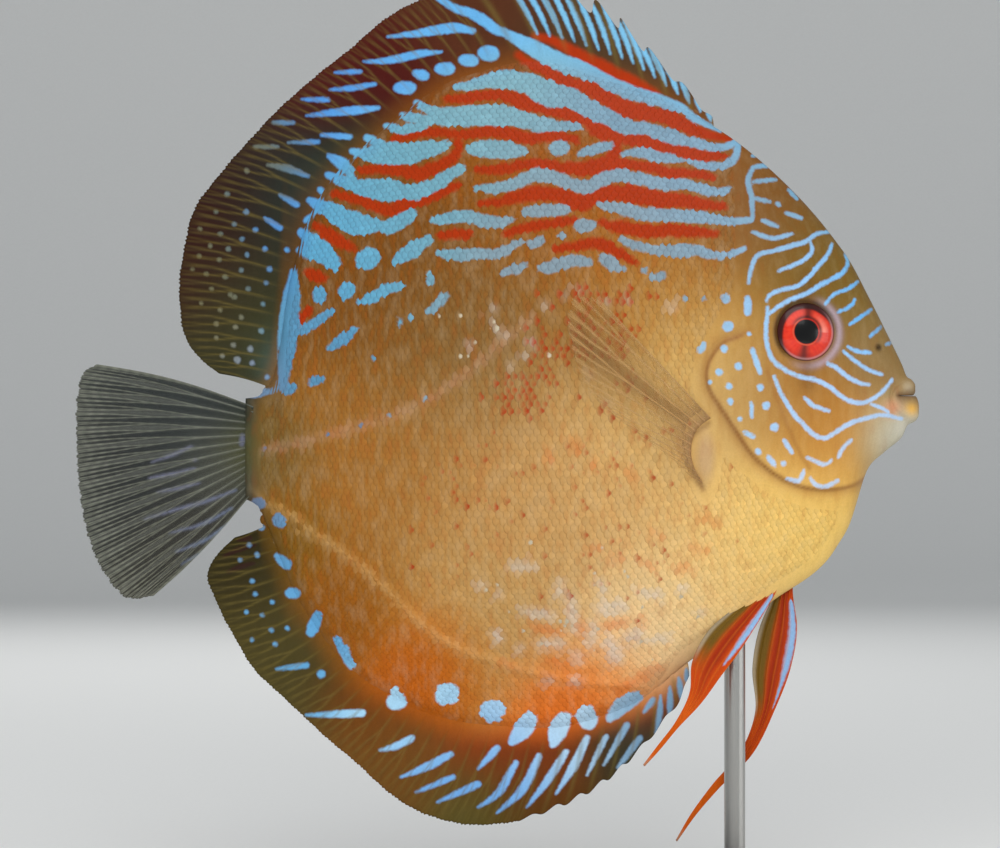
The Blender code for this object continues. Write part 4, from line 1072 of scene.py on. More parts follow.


# %% [markdown]
# ## One painted finish for skin, scales and fins
#
# The cast is sealed with a satin varnish, as living skin is covered with slime: the gloss lies
# over the paint, so the shader's coat gives it, and the paint below is duller. The stripes come
# from the stored distances: a smooth step from inside to outside, moved a little by noise so
# that the edge isn't machine cut. A ridge value brightens fin rays, or darkens the rims of
# scales as painted shade between them.

# %% The painted finish
GRAIN_SIZE, EDGE_SIZE, MOTTLE_SIZE = 0.35, 0.9, 1.3
RED_PAINT, VEIL_PAINT, WARM_PAINT = "9c2c04", "a89a7c", "b8581c"
RED_SOFTNESS = 2.2
SPECULAR, COAT_WEIGHT = 0.12, 0.08


def painted(name, soft=0.2, wobble=0.6, ridge_colour="6b5a30", ridge_share=0.0, rough=0.45,
            grain=0.02, veil=0.0, covered=True):
    """Varnished paint. soft is half the width of a stripe's edge and wobble how far noise moves
    it, both in millimetres. ridge_share is how strongly the ridge value takes its colour, and
    veil the share of greyish and of warm upright patches. A sheet that isn't covered takes its
    alpha from the stored cover."""
    sockets = {"Roughness": rough, "IOR": 1.45, "Specular IOR Level": SPECULAR,
               "Coat Weight": COAT_WEIGHT, "Coat Roughness": 0.2}
    material, tree, shader = new_finish(name, sockets)
    place = add(tree, "TexCoord").outputs["Object"]
    fine = add(tree, "TexNoise", {"Vector": place, "Scale": 1 / (GRAIN_SIZE * MM), "Detail": 3.0})
    edge = add(tree, "TexNoise", {"Vector": place, "Scale": 1 / (EDGE_SIZE * MM), "Detail": 4.0})
    upright = add(tree, "Mapping", {"Vector": place, "Scale": (1.0, 1.0, 0.3)})
    broad = add(tree, "TexNoise", {"Vector": upright.outputs[0], "Scale": 1 / (MOTTLE_SIZE * MM),
                                   "Detail": 4.0})
    centred = add(tree, "Math", {0: edge.outputs[0], 1: 0.5}, operation="SUBTRACT")
    shift = add(tree, "Math", {0: centred.outputs[0], 1: wobble}, operation="MULTIPLY")
    shares = []
    for layer, half in (("red", RED_SOFTNESS * soft), ("blue", soft)):
        stored = add(tree, "Attribute", attribute_name=layer)
        moved = add(tree, "Math", {0: stored.outputs["Fac"], 1: shift.outputs[0]}, operation="ADD")
        step = add(tree, "MapRange", {0: moved.outputs[0], 1: -half, 2: half, 3: 1.0, 4: 0.0},
                   interpolation_type="SMOOTHSTEP")
        shares.append(step.outputs[0])
    base = add(tree, "Attribute", attribute_name="ground").outputs["Color"]
    patches = add(tree, "MapRange", {0: broad.outputs[0], 1: 0.46, 2: 0.72, 3: 0.0, 4: veil})
    veiled = add(tree, "Mix", {0: patches.outputs[0], 6: base, 7: colour(VEIL_PAINT)}, data_type="RGBA")
    warmth = add(tree, "MapRange", {0: broad.outputs[0], 1: 0.48, 2: 0.3, 3: 0.0, 4: veil})
    warmed = add(tree, "Mix", {0: warmth.outputs[0], 6: veiled.outputs[2], 7: colour(WARM_PAINT)},
                 data_type="RGBA")
    reddened = add(tree, "Mix", {0: shares[0], 6: warmed.outputs[2], 7: colour(RED_PAINT)},
                   data_type="RGBA")
    blue_paint = add(tree, "Attribute", attribute_name="stripe").outputs["Color"]
    ridge = add(tree, "Attribute", attribute_name="ridge").outputs["Fac"]
    striped = add(tree, "Mix", {0: shares[1], 6: reddened.outputs[2], 7: blue_paint}, data_type="RGBA")
    held = add(tree, "Math", {0: ridge, 1: ridge_share}, operation="MULTIPLY")
    ridged = add(tree, "Mix", {0: held.outputs[0], 6: striped.outputs[2], 7: colour(ridge_colour)},
                 data_type="RGBA")
    spots = add(tree, "MapRange", {0: broad.outputs[0], 1: 0.3, 2: 0.7, 3: 0.95, 4: 1.05})
    specks = add(tree, "MapRange", {0: fine.outputs[0], 1: 0.3, 2: 0.7, 3: 0.95, 4: 1.05})
    tone = add(tree, "Math", {0: spots.outputs[0], 1: specks.outputs[0]}, operation="MULTIPLY")
    finished = add(tree, "VectorMath", {0: ridged.outputs[2], 3: tone.outputs[0]}, operation="SCALE")
    tree.links.new(finished.outputs[0], shader.inputs["Base Color"])
    bump = add(tree, "Bump", {"Height": fine.outputs[0], "Strength": 0.5, "Distance": grain * MM})
    tree.links.new(bump.outputs["Normal"], shader.inputs["Normal"])
    if not covered:
        cover = add(tree, "Attribute", attribute_name="cover").outputs["Fac"]
        tree.links.new(cover, shader.inputs["Alpha"])
    return material


# Smooth, sealed skin of the head and of what shows between scales.
skin_paint = painted("varnished_skin_paint", soft=0.26, veil=0.08)
# Pressed scales: their rims are a little darker than their middles, painted shade between the
# overlapping scales.
scale_paint = painted("varnished_scale_paint", wobble=0.7, ridge_colour="7a4a20", ridge_share=0.06,
                      rough=0.42, veil=0.2)
# Fin sheet with horny rays, which are paler than the sheet.
fin_paint = painted("varnished_fin_paint", soft=0.3, wobble=0.5, ridge_colour="6c5e2c",
                    ridge_share=0.42)

# %% [markdown]
# ## The skin
#
# The skin could be rings across the body, as a ship has frames. That works until the mouth,
# where flat rings can't make lips. So the rings are bent forwards there: each ring is given by
# its top, its side and its bottom, and the last ones turn back into the mouth, which makes both
# lips, the corner between them and the dark line of the mouth in one closed surface. The rings
# inside the mouth are painted nearly black as painted shade, which darkens the mouth's line.

# %% Rings round the mouth: top (x, z), side (x, y, z), bottom (x, z)
MOUTH_RINGS = [
    ((66.0, 31.7), (66.0, 7.9, 5.5), (66.0, -20.0)),
    ((70.0, 24.2), (69.6, 6.1, 5.1), (70.2, -8.0)),
    ((73.6, 17.0), (72.3, 4.9, 4.9), (73.2, -5.2)),
    ((76.4, 11.2), (73.4, 4.1, 4.9), (76.4, -2.4)),
    ((77.4, 8.9), (73.9, 3.6, 5.0), (77.6, -0.1)),
    ((78.1, 8.5), (74.2, 3.95, 5.15), (78.7, 0.4)),
    ((78.9, 7.3), (74.7, 4.0, 5.3), (79.55, 1.7)),
    ((78.9, 6.3), (75.2, 3.5, 5.38), (79.6, 3.4)),
    ((78.4, 5.42), (75.6, 2.8, 5.36), (78.9, 5.30)),
    ((75.8, 5.39), (74.6, 1.6, 5.35), (75.8, 5.31)),
    ((73.0, 5.39), (72.4, 0.9, 5.35), (73.0, 5.31)),
]
BODY_STEP, HEAD_STEP, MOUTH_STEP = 1.25, 0.33, 0.27
HEAD_START_X, FLAT_END_X = 36.0, 64
MOUTH_KEELS = 0.62, 0.6
AROUND = 344
EVENNESS = 0.72


def ring_rows():
    """Each ring as top x, top z, side x, side y, side z, bottom x, bottom z and two keels.

    Flat rings run from the tail to FLAT_END_X, spaced along the steeper of the two edges, and
    the bent rings are read from monotone cubics through MOUTH_RINGS."""
    dense = np.linspace(TAIL_ROOT_X, FLAT_END_X, 3000)
    back = np.abs(np.gradient(smooth(dense, BACK_EDGE), dense))
    belly = np.abs(np.gradient(smooth(dense, BELLY_EDGE), dense))
    step = np.where(dense < HEAD_START_X, BODY_STEP, HEAD_STEP)
    run = np.cumsum(np.sqrt(1 + np.minimum(np.maximum(back, belly), 3) ** 2 * 0.5) / step)
    run = (run - run[0]) * (dense[1] - dense[0])
    x = np.interp(np.linspace(0, run[-1], int(run[-1])), run, dense)
    flat = np.stack([
        x, smooth(x, BACK_EDGE), x, smooth(x, HALF_WIDTH), smooth(x, WIDEST_HEIGHT),
        x, smooth(x, BELLY_EDGE), smooth(x, BACK_KEEL), smooth(x, BELLY_KEEL),
    ], axis=1)
    keys = np.array([[*top, *side, *bottom, *MOUTH_KEELS] for top, side, bottom in MOUTH_RINGS])
    keys[0, 7:] = smooth(keys[0, 0], BACK_KEEL), smooth(keys[0, 0], BELLY_KEEL)
    keys = np.concatenate([flat[[-8, -1]], keys])
    apart = np.linalg.norm(np.diff(keys[:, :7], axis=0), axis=1)
    at = np.concatenate([[0], np.cumsum(apart)])
    count = int((at[-1] - at[1]) / (MOUTH_STEP * 2.2))
    fine = np.linspace(at[1], at[-1], count)[1:]
    bent = np.stack([smooth(fine, np.stack([at, keys[:, k]], axis=1)) for k in range(9)], axis=1)
    return np.concatenate([flat, bent])


def heights_round(count):
    """Heights from -1 at the belly to +1 at the back and down again, between evenly spaced
    and evenly turned, so that neither the keels nor the middle is coarse."""
    half = (np.arange(count // 2) + 0.5) / (count // 2)
    up = EVENNESS * (2 * half - 1) - (1 - EVENNESS) * np.cos(np.pi * half)
    return np.concatenate([up, up[::-1]]), np.concatenate([-np.ones(count // 2), np.ones(count // 2)])


def skin_points(rows, height, side):
    """The skin before its relief: height h picks the top or the bottom of the ring, x and z go
    there as h² and h, and y is the rim plus the half width times (1 - h²) to the keel."""
    top_x, top_z, side_x, side_y, side_z, low_x, low_z, up_keel, low_keel = rows.T[:, :, None]
    h = height[None, :]
    above = h > 0
    x = side_x + h**2 * (np.where(above, top_x, low_x) - side_x)
    z = side_z + np.abs(h) * (np.where(above, top_z, low_z) - side_z)
    open_share = np.clip(1 - h**2, 0, 1)
    rim = FIN_RIM * (1 - np.exp(-np.sqrt(open_share) / 0.12))
    y = rim + (side_y - FIN_RIM) * open_share ** np.where(above, up_keel, low_keel)
    return x, side[None, :] * y, z, np.sqrt(open_share)


# %% Where scales cover the skin
SCALE_FRONT = [
    (42.0, 62.0), (44.6, 56.0), (46.0, 48.0), (46.2, 36.0), (45.6, 24.0), (42.0, 18.6), (38.6, 13.0),
    (37.6, 8.0), (39.6, 1.0), (45.2, -6.6), (51.6, -11.6), (58.5, -14.0), (66.0, -14.6), (74.0, -13.0),
]
SCALE_SINK = 0.14
# The last colour is the paint of the rings inside the mouth: nearly black, painted shade.
LIP_RINGS, THROAT_RINGS, MOUTH_SHADE_PAINT = 34, 26, "3a1810"


def scaled_share(x, z):
    """1 where the coat of scales lies, 0 on the head, with a soft edge of 2 mm."""
    away, side, _ = beside(x, z, np.array(SCALE_FRONT))
    return ease(side * away / 2.0)


def capped(places, count):
    """A tube of rings of count places, closed at both ends by a fan of triangles round the
    mean of the end ring: all the places, and the sets of faces."""
    ends = [places[:count].mean(axis=0), places[-count:].mean(axis=0)]
    here = np.arange(count)
    after, last = (here + 1) % count, len(places) - count
    first_tip, last_tip = np.full(count, len(places)), np.full(count, len(places) + 1)
    faces = [
        grid_faces(len(places) // count, count, around=True),
        np.stack([here, after, first_tip], axis=1),
        np.stack([last + after, last + here, last_tip], axis=1),
    ]
    return np.concatenate([places, ends]), faces


rows = ring_rows()
height, side = heights_round(AROUND)
x, y, z, openness = skin_points(rows, height, side)
raised = relief(x, z) * ease(openness / 0.3) - SCALE_SINK * scaled_share(x, z)
ring_number = np.arange(len(rows)) - len(rows)
y = y + np.sign(y) * raised * (1 - ease((ring_number + LIP_RINGS) / 10)[:, None])
points, faces = capped(np.stack([x, y, z], axis=-1).reshape(-1, 3), AROUND)
skin = mesh_piece("skin", points, *faces)
skin_x, skin_z = points[:, 0], points[:, 2]
# The rings that turn into the mouth are darkened towards black: painted shade inside the mouth.
deep = np.concatenate([np.repeat(ease((ring_number + THROAT_RINGS) / 14), AROUND), [0, 1]])
skin_ground = tinted(whole_ground(skin_x, skin_z), 0.85 * deep, MOUTH_SHADE_PAINT)
mark(skin, skin_x, skin_z, skin_ground)
skin.data.materials.append(skin_paint)
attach(skin, "root")
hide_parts("head", "trunk", "tail_stalk", "gill_cover_right", "gill_cover_left")
print("skin:", len(rows), "rings,", 2 * len(rows) * AROUND, "triangles")

# %% [markdown]
# ## The coat of scales
#
# Scales could be bump alone, but a discus is seen by its scales where light grazes it, so here
# each one is a small solid: a low shield, sunk at its front and free at its rear edge, with the
# next row's front below it. They stand in rows, and every other row is moved by half a scale.
# Rows and columns draw together away from the middle of the flank, where scales are smaller.
# One template is laid on the flank everywhere at once, with the paint of its own middle and
# corners, so that the edges of the stripes step from scale to scale.

# %% One scale: rings of places around its middle, in shares of its length and height
SCALE_LENGTH, SCALE_ROW = 1.4, 1.3
SCALE_HALF_LENGTH, SCALE_HALF_HEIGHT = 0.82, 0.96
SCALE_SIDES = 10
SCALE_RINGS = (0.92, 1.0)
SCALE_BEVEL = 0.016
SCALE_TILT, SCALE_DOME, SCALE_THICK = 0.042, 0.026, 0.12
FRONT_TAPER = 0.25


def scale_template():
    """Places (u to the head, v up, height in mm) and triangles of a closed shield: a middle,
    two rings of an oval that is blunter at the rear, and one place below. Its height is
    -dome r² - tilt u, less a small bevel on the outer ring, so that each free rear edge stands
    a little over the next scale, as tiles do."""
    turn = np.arange(SCALE_SIDES) / SCALE_SIDES * 2 * np.pi + np.pi
    u, v = np.cos(turn), np.sin(turn)
    v = v * np.where(u > 0, 1 - FRONT_TAPER * u**2, 1.0)
    inner_reach, outer_reach = SCALE_RINGS
    ring = np.ones(SCALE_SIDES)
    reach = np.concatenate([[0], inner_reach * ring, outer_reach * ring, [0]])
    us = np.concatenate([[0], inner_reach * u, outer_reach * u, [0]])
    vs = np.concatenate([[0], inner_reach * v, outer_reach * v, [0]])
    high = -SCALE_DOME * reach**2 - SCALE_TILT * us
    high[-1 - SCALE_SIDES : -1] -= SCALE_BEVEL
    high[-1] = -SCALE_DOME - SCALE_THICK
    k = np.arange(SCALE_SIDES)
    after = (k + 1) % SCALE_SIDES
    top = np.stack([np.zeros_like(k), 1 + k, 1 + after], axis=1)
    inner, outer = 1 + k, 1 + SCALE_SIDES + k
    band = np.concatenate([
        np.stack([inner, outer, 1 + SCALE_SIDES + after], axis=1),
        np.stack([inner, 1 + SCALE_SIDES + after, 1 + after], axis=1),
    ])
    low = np.full_like(k, 1 + 2 * SCALE_SIDES)
    below = np.stack([low, 1 + SCALE_SIDES + after, outer], axis=1)
    return us, vs, high, reach, np.concatenate([top, band, below])


# %% The rows and columns that scales stand in
COAT_MIDDLE = (8.0, 5.0)
ROWS_UP, ROWS_DOWN = (76, 0.70, 14, 34), (-66, 0.60, 22, 28)
COLUMNS_HEAD, COLUMNS_TAIL = (82, 0.80, 14, 30), (-54, 0.74, 6, 40)
ROW_ARCH, ARCH_SPAN = 0.17, 50


def running(first, step, limit, least, near, span):
    """Places from first towards limit. The step is full near the first place, and beyond that
    it eases down to its least share over the span."""
    places = [first]
    while abs(places[-1] - first) < abs(limit - first):
        share = float(ease((abs(places[-1] - first) - near) / span))
        places.append(places[-1] + np.copysign(step * (1 - (1 - least) * share), limit - first))
    return np.array(places)


def both_ways(first, step, one, other):
    """Places from the far end of one way to the far end of the other, through first."""
    return np.concatenate([running(first, step, *one)[:0:-1], running(first, step, *other)])


def scale_rows():
    """Middles, lengths and heights of the scales of one flank. Where row and column numbers
    add up to an even number there is a scale. The rows are bent by 1 - k x²."""
    columns = both_ways(COAT_MIDDLE[0], SCALE_LENGTH / 2, COLUMNS_TAIL, COLUMNS_HEAD)
    levels = both_ways(COAT_MIDDLE[1], SCALE_ROW, ROWS_DOWN, ROWS_UP)
    i, j = np.nonzero(np.add.outer(np.arange(len(columns)), np.arange(len(levels))) % 2 == 0)
    x = columns[i]
    arch = 1 - ROW_ARCH * ((x - COAT_MIDDLE[0]) / ARCH_SPAN) ** 2
    z = COAT_MIDDLE[1] + (levels[j] - COAT_MIDDLE[1]) * arch
    return x, z, 2 * np.gradient(columns)[i], np.gradient(levels)[j] * arch


# %% Which places carry a scale, and how the coat dives under the skin at its borders
SHEATH, BARE_EDGE = 0.5, 0.9
COAT_HOLE_OVAL, COAT_HOLE = (1.0, 2.9), 2.1
SHIFT_X, SHIFT_Z, TALL_SPREAD = 0.04, 0.03, 0.025
BORDERS = {"edge": (3.0, 0.40), "front": (4.0, 0.16), "tail": (3.4, 0.30), "lobe": (1.6, 0.30)}


def inside_coat(x, z):
    """How far inside each border of the coat a place lies, in millimetres. On a long fin's
    root the coat reaches a little over the edge, and elsewhere it stops short of it."""
    edge_inside = np.full(np.shape(x), FAR)
    for edge, ends, way in ((BACK_EDGE, DORSAL_ROOT, 1), (BELLY_EDGE, ANAL_ROOT, -1)):
        finned = ease((ends[0] - 1.5 - x) / 4) * ease((x - ends[1] + 2) / 2)
        margin = SHEATH * finned - BARE_EDGE * (1 - finned)
        edge_inside = np.minimum(edge_inside, margin - outside(x, z, edge, way))
    front_away, side, _ = beside(x, z, np.array(SCALE_FRONT))
    return {
        "edge": edge_inside,
        "front": side * front_away,
        "tail": x - TAIL_ROOT_X - BARE_EDGE,
        "lobe": around(x, z, LOBE, *COAT_HOLE_OVAL) - COAT_HOLE,
    }


chance = np.random.default_rng(7)
us, vs, high, reach, scale_faces = scale_template()
x, z, scale_long, scale_tall = scale_rows()
kept = np.min(list(inside_coat(x, z).values()), axis=0) > 0
x, z, scale_long, scale_tall = (each[kept] for each in (x, z, scale_long, scale_tall))
x = x + chance.normal(0, SHIFT_X, len(x))
z = z + chance.normal(0, SHIFT_Z, len(z))
scale_tall = scale_tall * chance.normal(1, TALL_SPREAD, len(x))

corner_x = x[:, None] + us[None, :] * scale_long[:, None] * SCALE_HALF_LENGTH
corner_z = z[:, None] + vs[None, :] * scale_tall[:, None] * SCALE_HALF_HEIGHT
bare_y = flank(corner_x, corner_z)
raised = relief(corner_x, corner_z) * ease((bare_y - FIN_RIM) / 0.8) - SCALE_SINK * 0.4
hidden = np.zeros_like(corner_x)
for border, inside in inside_coat(corner_x, corner_z).items():
    fade, sink = BORDERS[border]
    hidden = hidden + sink * (1 - ease(inside / fade))
corner_y = bare_y + raised + high[None, :] * (scale_tall / SCALE_ROW)[:, None] - hidden
print("scales on each flank:", len(x))

# %% [markdown]
# Scales also carry what is too fine for a brush: a field of red dashes behind the shoulder,
# one upright dash on a scale, and a few loose flecks of pale lilac and of orange lower down.
# Each is a short distance from the scale's own middle, given only to the scales that a seeded
# draw picks.

# %% Fields of marks: middle, half width and half height, in the picture
PALE_FIELDS = [(590, 600, 120, 80), (500, 330, 90, 40)]
ORANGE_FIELDS = [(600, 500, 130, 120), (470, 500, 80, 90)]
DASH_FIELDS = [
    (578, 340, 30, 36), (541, 345, 18, 52), (524, 396, 42, 28), (616, 336, 26, 38),
    (607, 415, 16, 12), (628, 380, 14, 14), (600, 300, 60, 16),
]
FIRST_SEEN = 1.2

# %% Marks: half length, half height and offset, share of the scales, how faint, and fields
MARKS = {
    "red dashes": (0.55, 1.0, -0.2, 0.8, 0.25, DASH_FIELDS),
    "orange flecks": (0.45, 0.75, -0.2, 0.16, 0.35, ORANGE_FIELDS),
    "pale flecks": (0.5, 0.7, -0.1, 0.06, 0.4, PALE_FIELDS),
}
FLECK_PAINT = "b4a890"
OWN_STRIPES, OWN_GROUND = 0.7, 0.4
STRIPE_SPREAD, GROUND_SHIFT, TONE_SPREAD = 0.10, 0.5, 0.035


def inside_fields(fields):
    """1 near the middle of any of the oval fields and 0 outside them, as a smooth step."""
    px, py = picture_place(x, z)
    reaches = [around(px, py, (at_x, at_y), wide, tall) for at_x, at_y, wide, tall in fields]
    return np.max([ease(FIRST_SEEN - each) for each in reaches], axis=0)


def mark_distance(name):
    """Distance to a named oval mark on each scale, in millimetres: the oval's norm less 1,
    times its half length. A share of the scales is drawn to have it, up to faint millimetres
    weaker, and on the others it is out of reach."""
    half_length, half_height, offset, share, faint, fields = MARKS[name]
    away_x = (us[None, :] - offset) * scale_long[:, None] * SCALE_HALF_LENGTH / half_length
    away_z = vs[None, :] * scale_tall[:, None] * SCALE_HALF_HEIGHT / half_height
    drawn = chance.random(len(x)) < share * inside_fields(fields)
    weaker = np.where(drawn, faint * chance.random(len(x)), FAR)[:, None]
    return (np.hypot(away_x, away_z) - 1) * half_length + weaker


def own_share(values, own, middle):
    """Values at a scale's corners, drawn towards the value at its middle by 1 - own."""
    return own * values + (1 - own) * middle[:, None]


def scale_stripes(field):
    """Distances to a layer's strokes at each scale's corners, a little less or more on each
    scale by a normal draw."""
    at_corners, at_middles = read_map(field, corner_x, corner_z), read_map(field, x, z)
    spread = chance.normal(0, STRIPE_SPREAD, len(x))[:, None]
    return own_share(at_corners, OWN_STRIPES, at_middles) + spread


# %% Paint of the scales
blue, red = scale_stripes(blue_map), scale_stripes(red_map)
red_marks = np.minimum(mark_distance("red dashes"), mark_distance("orange flecks"))
red = np.minimum(red, red_marks)
flecks = mark_distance("pale flecks")
pale = (flecks < blue) & (flecks < 1)
stripe_colour = whole_stripes(corner_x, corner_z)
stripe_colour = np.where(pale[..., None], linear(hex_shares(FLECK_PAINT)), stripe_colour)
blue = np.minimum(blue, flecks)
moved_x = x + chance.normal(0, GROUND_SHIFT, len(x))
moved_z = z + chance.normal(0, GROUND_SHIFT, len(x))
scale_ground = whole_ground(corner_x, corner_z)
scale_ground = own_share(scale_ground, OWN_GROUND, whole_ground(moved_x, moved_z))
tone = chance.normal(1, TONE_SPREAD, len(x))[:, None, None]
# Each scale's ground and stripes get darker towards its rim: painted shade between overlapping scales.
tone = tone * (1.01 - 0.04 * reach[None, :, None])
scale_ground = scale_ground * tone
stripe_colour = stripe_colour * (tone + 0.02 - 0.05 * reach[None, :, None])
# The rims' ridge value makes the finish darker at the rims, painted shade as well.
rim = np.broadcast_to(ease((reach - 0.1) / 0.6)[None, :], corner_x.shape)

# %% [markdown]
# Each scale gets a small patch of its own in a map named OFBake. The patch lies where the
# scale's root is on the unrolled flank: along x as it is, and upwards by the length of the
# skin's own curve, so that the keels aren't squeezed as they would be in a side view.

# %% The unrolled flank
PATCH_HALF = 0.0015


def unrolled(x, z):
    """Length of the skin's curve across the flank from the widest line to each place, by sums
    of the spans between close heights at that x."""
    shares = np.linspace(0, 1, 60)[None, :]
    middle = smooth(x, WIDEST_HEIGHT)[:, None]
    at = middle + shares * (z[:, None] - middle)
    out = flank(np.broadcast_to(x[:, None], at.shape), at)
    spans = np.hypot(np.diff(at, axis=1), np.diff(out, axis=1))
    return np.sign(z - middle[:, 0]) * spans.sum(axis=1)


def fitted(values):
    """Values moved and scaled to lie between 0.01 and 0.99."""
    return 0.01 + 0.98 * (values - values.min()) / np.ptp(values)


patch_u = fitted(x)[:, None] + us[None, :] * PATCH_HALF
patch_v = fitted(unrolled(x, z))[:, None] + vs[None, :] * PATCH_HALF

# %% The coats: a front and a rear one on each flank
COAT_PARTING = 6.0
is_below = np.arange(len(scale_faces)) >= 3 * SCALE_SIDES


def coat_piece(name, way, chosen):
    """One coat of the chosen scales. The undersides are flat shaded, so that they don't bend
    the light on the rims."""
    count, per_scale = int(chosen.sum()), len(us)

    def own(values):
        """The chosen scales' values, one to a vertex."""
        return values[chosen].reshape(count * per_scale, *values.shape[2:])

    faces = (scale_faces[None] + per_scale * np.arange(count)[:, None, None]).reshape(-1, 3)
    faces = faces[:, ::-1] if way > 0 else faces
    places = np.stack([own(corner_x), way * own(corner_y), own(corner_z)], axis=1)
    coat = mesh_piece(name, places, faces)
    coat.data.polygons.foreach_set("use_smooth", np.tile(~is_below, count))
    mark(coat, own(corner_x), own(corner_z), own(scale_ground), own(blue), own(red),
         own(stripe_colour))
    give(coat, "ridge", own(rim))
    patches = coat.data.uv_layers.new(name="OFBake")
    pairs = np.stack([own(patch_u), own(patch_v)], axis=1)[faces.ravel()]
    patches.data.foreach_set("uv", pairs.astype(np.float32).ravel())
    coat.data.materials.append(scale_paint)
    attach(coat, "root")
    print(name, len(faces), "triangles")


for way, word in SIDES:
    coat_piece(f"scales_{word}_front", way, x >= COAT_PARTING)
    coat_piece(f"scales_{word}_rear", way, x < COAT_PARTING)

# %% [markdown]
# ## Fins
#
# A fin is a fan of rays with a sheet stretched between them. A soft ray branches towards its
# tip, a spine doesn't. The sheet could be a flat plane with the rays as tubes, but the real
# rays lie within the sheet and swell it on both sides. So each fin is one closed surface over a
# grid of (across, out), and its thickness is the sheet's plus a bell round each ray.

# %% How thick each kind of fin is, in millimetres, and how wide its rays are
# Half a sheet and its loss towards the tip, a ray's swell and its loss, the root's swell and
# its reach, and a ray's width in spaces between rays with how much it narrows.
FIN_BUILD = {
    "long": (0.26, 0.13, 0.15, 0.08, 0.3, 0.06, 0.11, 1.0),
    "tail": (0.20, 0.07, 0.22, 0.12, 1.2, 0.07, 0.12, 2.2),
    "breast": (0.16, 0.04, 0.18, 0.09, 0.8, 0.09, 0.13, 0.8),
}
SPINE_WIDTH, RIM_RAY, BRANCH_SPREAD = 0.12, 0.02, 0.25
LONG_WAVES, TAIL_WAVES, BREAST_WAVES = (137.0, 61.0), (173.0, 71.0), (97.0,)


def ray_width(kind, lengths):
    """The width of a kind's rays, w / (1 + k · length)."""
    *_, width, narrowing = FIN_BUILD[kind]
    return width / (1 + narrowing * lengths)


def half_thickness(kind, lengths, ridge):
    """Half a fin's thickness: the sheet and the swell of each ray get thinner in step with the
    length, and the root is thicker by exp(-length / reach)."""
    sheet, sheet_loss, swell, swell_loss, root, root_reach, *_ = FIN_BUILD[kind]
    thin = sheet - sheet_loss * lengths + ridge * (swell - swell_loss * lengths)
    return thin + root * np.exp(-lengths / root_reach)


def rim_rays(across):
    """1 on the first and on the last ray, falling by a bell, as a column."""
    return np.maximum(bell(across, RIM_RAY), bell(1 - across, RIM_RAY))[:, None]


def uneven(shares, waves):
    """A product of sines, -1 to 1, which makes a rim ragged: sin(share · wave) of each wave."""
    return np.prod([np.sin(shares * wave) for wave in waves], axis=0)


def fan(root, tip, lengths):
    """Places of a straight fan: the root plus the length, a share, of the way to the tip."""
    return root[:, None, :] + lengths[..., None] * (tip - root)[:, None, :]


def fork(across, out, rays, branches):
    """Distance, in shares of the space between two rays, from each place to the nearest
    branch of its ray. Each fork parts a branch in two, by a step that eases in."""
    near = across * (rays - 1)
    away = near - np.round(near)
    spread = BRANCH_SPREAD
    for start in branches:
        away = np.abs(away) - spread * ease((out - start) / 0.35)
        spread = spread / 2
    return np.abs(away)


# %% A closed sheet
def closed_sheet(name, middle, half):
    """Two faces at half a thickness on either side of a grid of middle places along y, joined
    round the rim. The right face comes first."""
    columns, rows = half.shape
    out = np.stack([np.zeros_like(half), half, np.zeros_like(half)], axis=-1)
    places = np.concatenate([(middle - out).reshape(-1, 3), (middle + out).reshape(-1, 3)])
    count = columns * rows
    right = grid_faces(columns, rows)
    left = right[:, ::-1] + count
    edge = np.concatenate([
        np.arange(columns) * rows,
        (columns - 1) * rows + np.arange(1, rows),
        np.arange(columns - 2, -1, -1) * rows + rows - 1,
        np.arange(rows - 2, 0, -1),
    ])
    after = np.roll(edge, -1)
    rim = np.stack([after, edge, edge + count, after + count], axis=1)
    faces = np.concatenate([right, left, rim])
    a, b, c = (places[faces[:, k]] for k in (0, 1, 2))
    d = places[faces[:, 3]]
    volume = (np.cross(b - a, c - a) * a).sum() + (np.cross(c - a, d - a) * a).sum()
    return mesh_piece(name, places, faces if volume > 0 else faces[:, ::-1])


def doubled(values):
    """The same values for both faces of a sheet."""
    flat = values.reshape(-1, *values.shape[2:])
    return np.concatenate([flat, flat])


# %% The two long fins
STEPS_PER_RAY, LONG_ROWS = 11, 56
LONG_FORKS, DASH_PAINT = (0.42, 0.72), "2c1612"


def long_fin_grid(share, spines, rays, notches):
    """How far each row of a long fin runs out, and what lies there: the run, the share across
    its own part, the lengths, and the ridge of its ray. The spines fill the first share of the
    run, with a deep notch between their tips, and the soft rays the rest, forking twice."""
    run = np.linspace(0, 1, STEPS_PER_RAY * (spines + rays))
    spiny = run < share
    across = np.where(spiny, run / share, (run - share) / (1 - share))
    out = np.linspace(0, 1, LONG_ROWS)[None, :]
    near_spine = fork(across[:, None], out * 0, spines, ())
    near_ray = fork(across[:, None], out, rays, LONG_FORKS)
    away = np.where(spiny[:, None], near_spine, near_ray)
    deep = np.interp(run / share, (0, 1), notches) * ease(near_spine[:, -1] * 2.0)
    notch = np.where(spiny, deep, 0.014 * ease(away[:, -1] / 0.1))
    reach = 1 - notch - 0.005 * (1 + uneven(run, LONG_WAVES))
    lengths = out * reach[:, None]
    width = np.where(spiny[:, None], SPINE_WIDTH, ray_width("long", lengths))
    ridge = bell(away, width) * ease(lengths / 0.12)
    pleats = across * np.where(spiny, spines - 1, rays - 1)
    return run, pleats, lengths, ridge


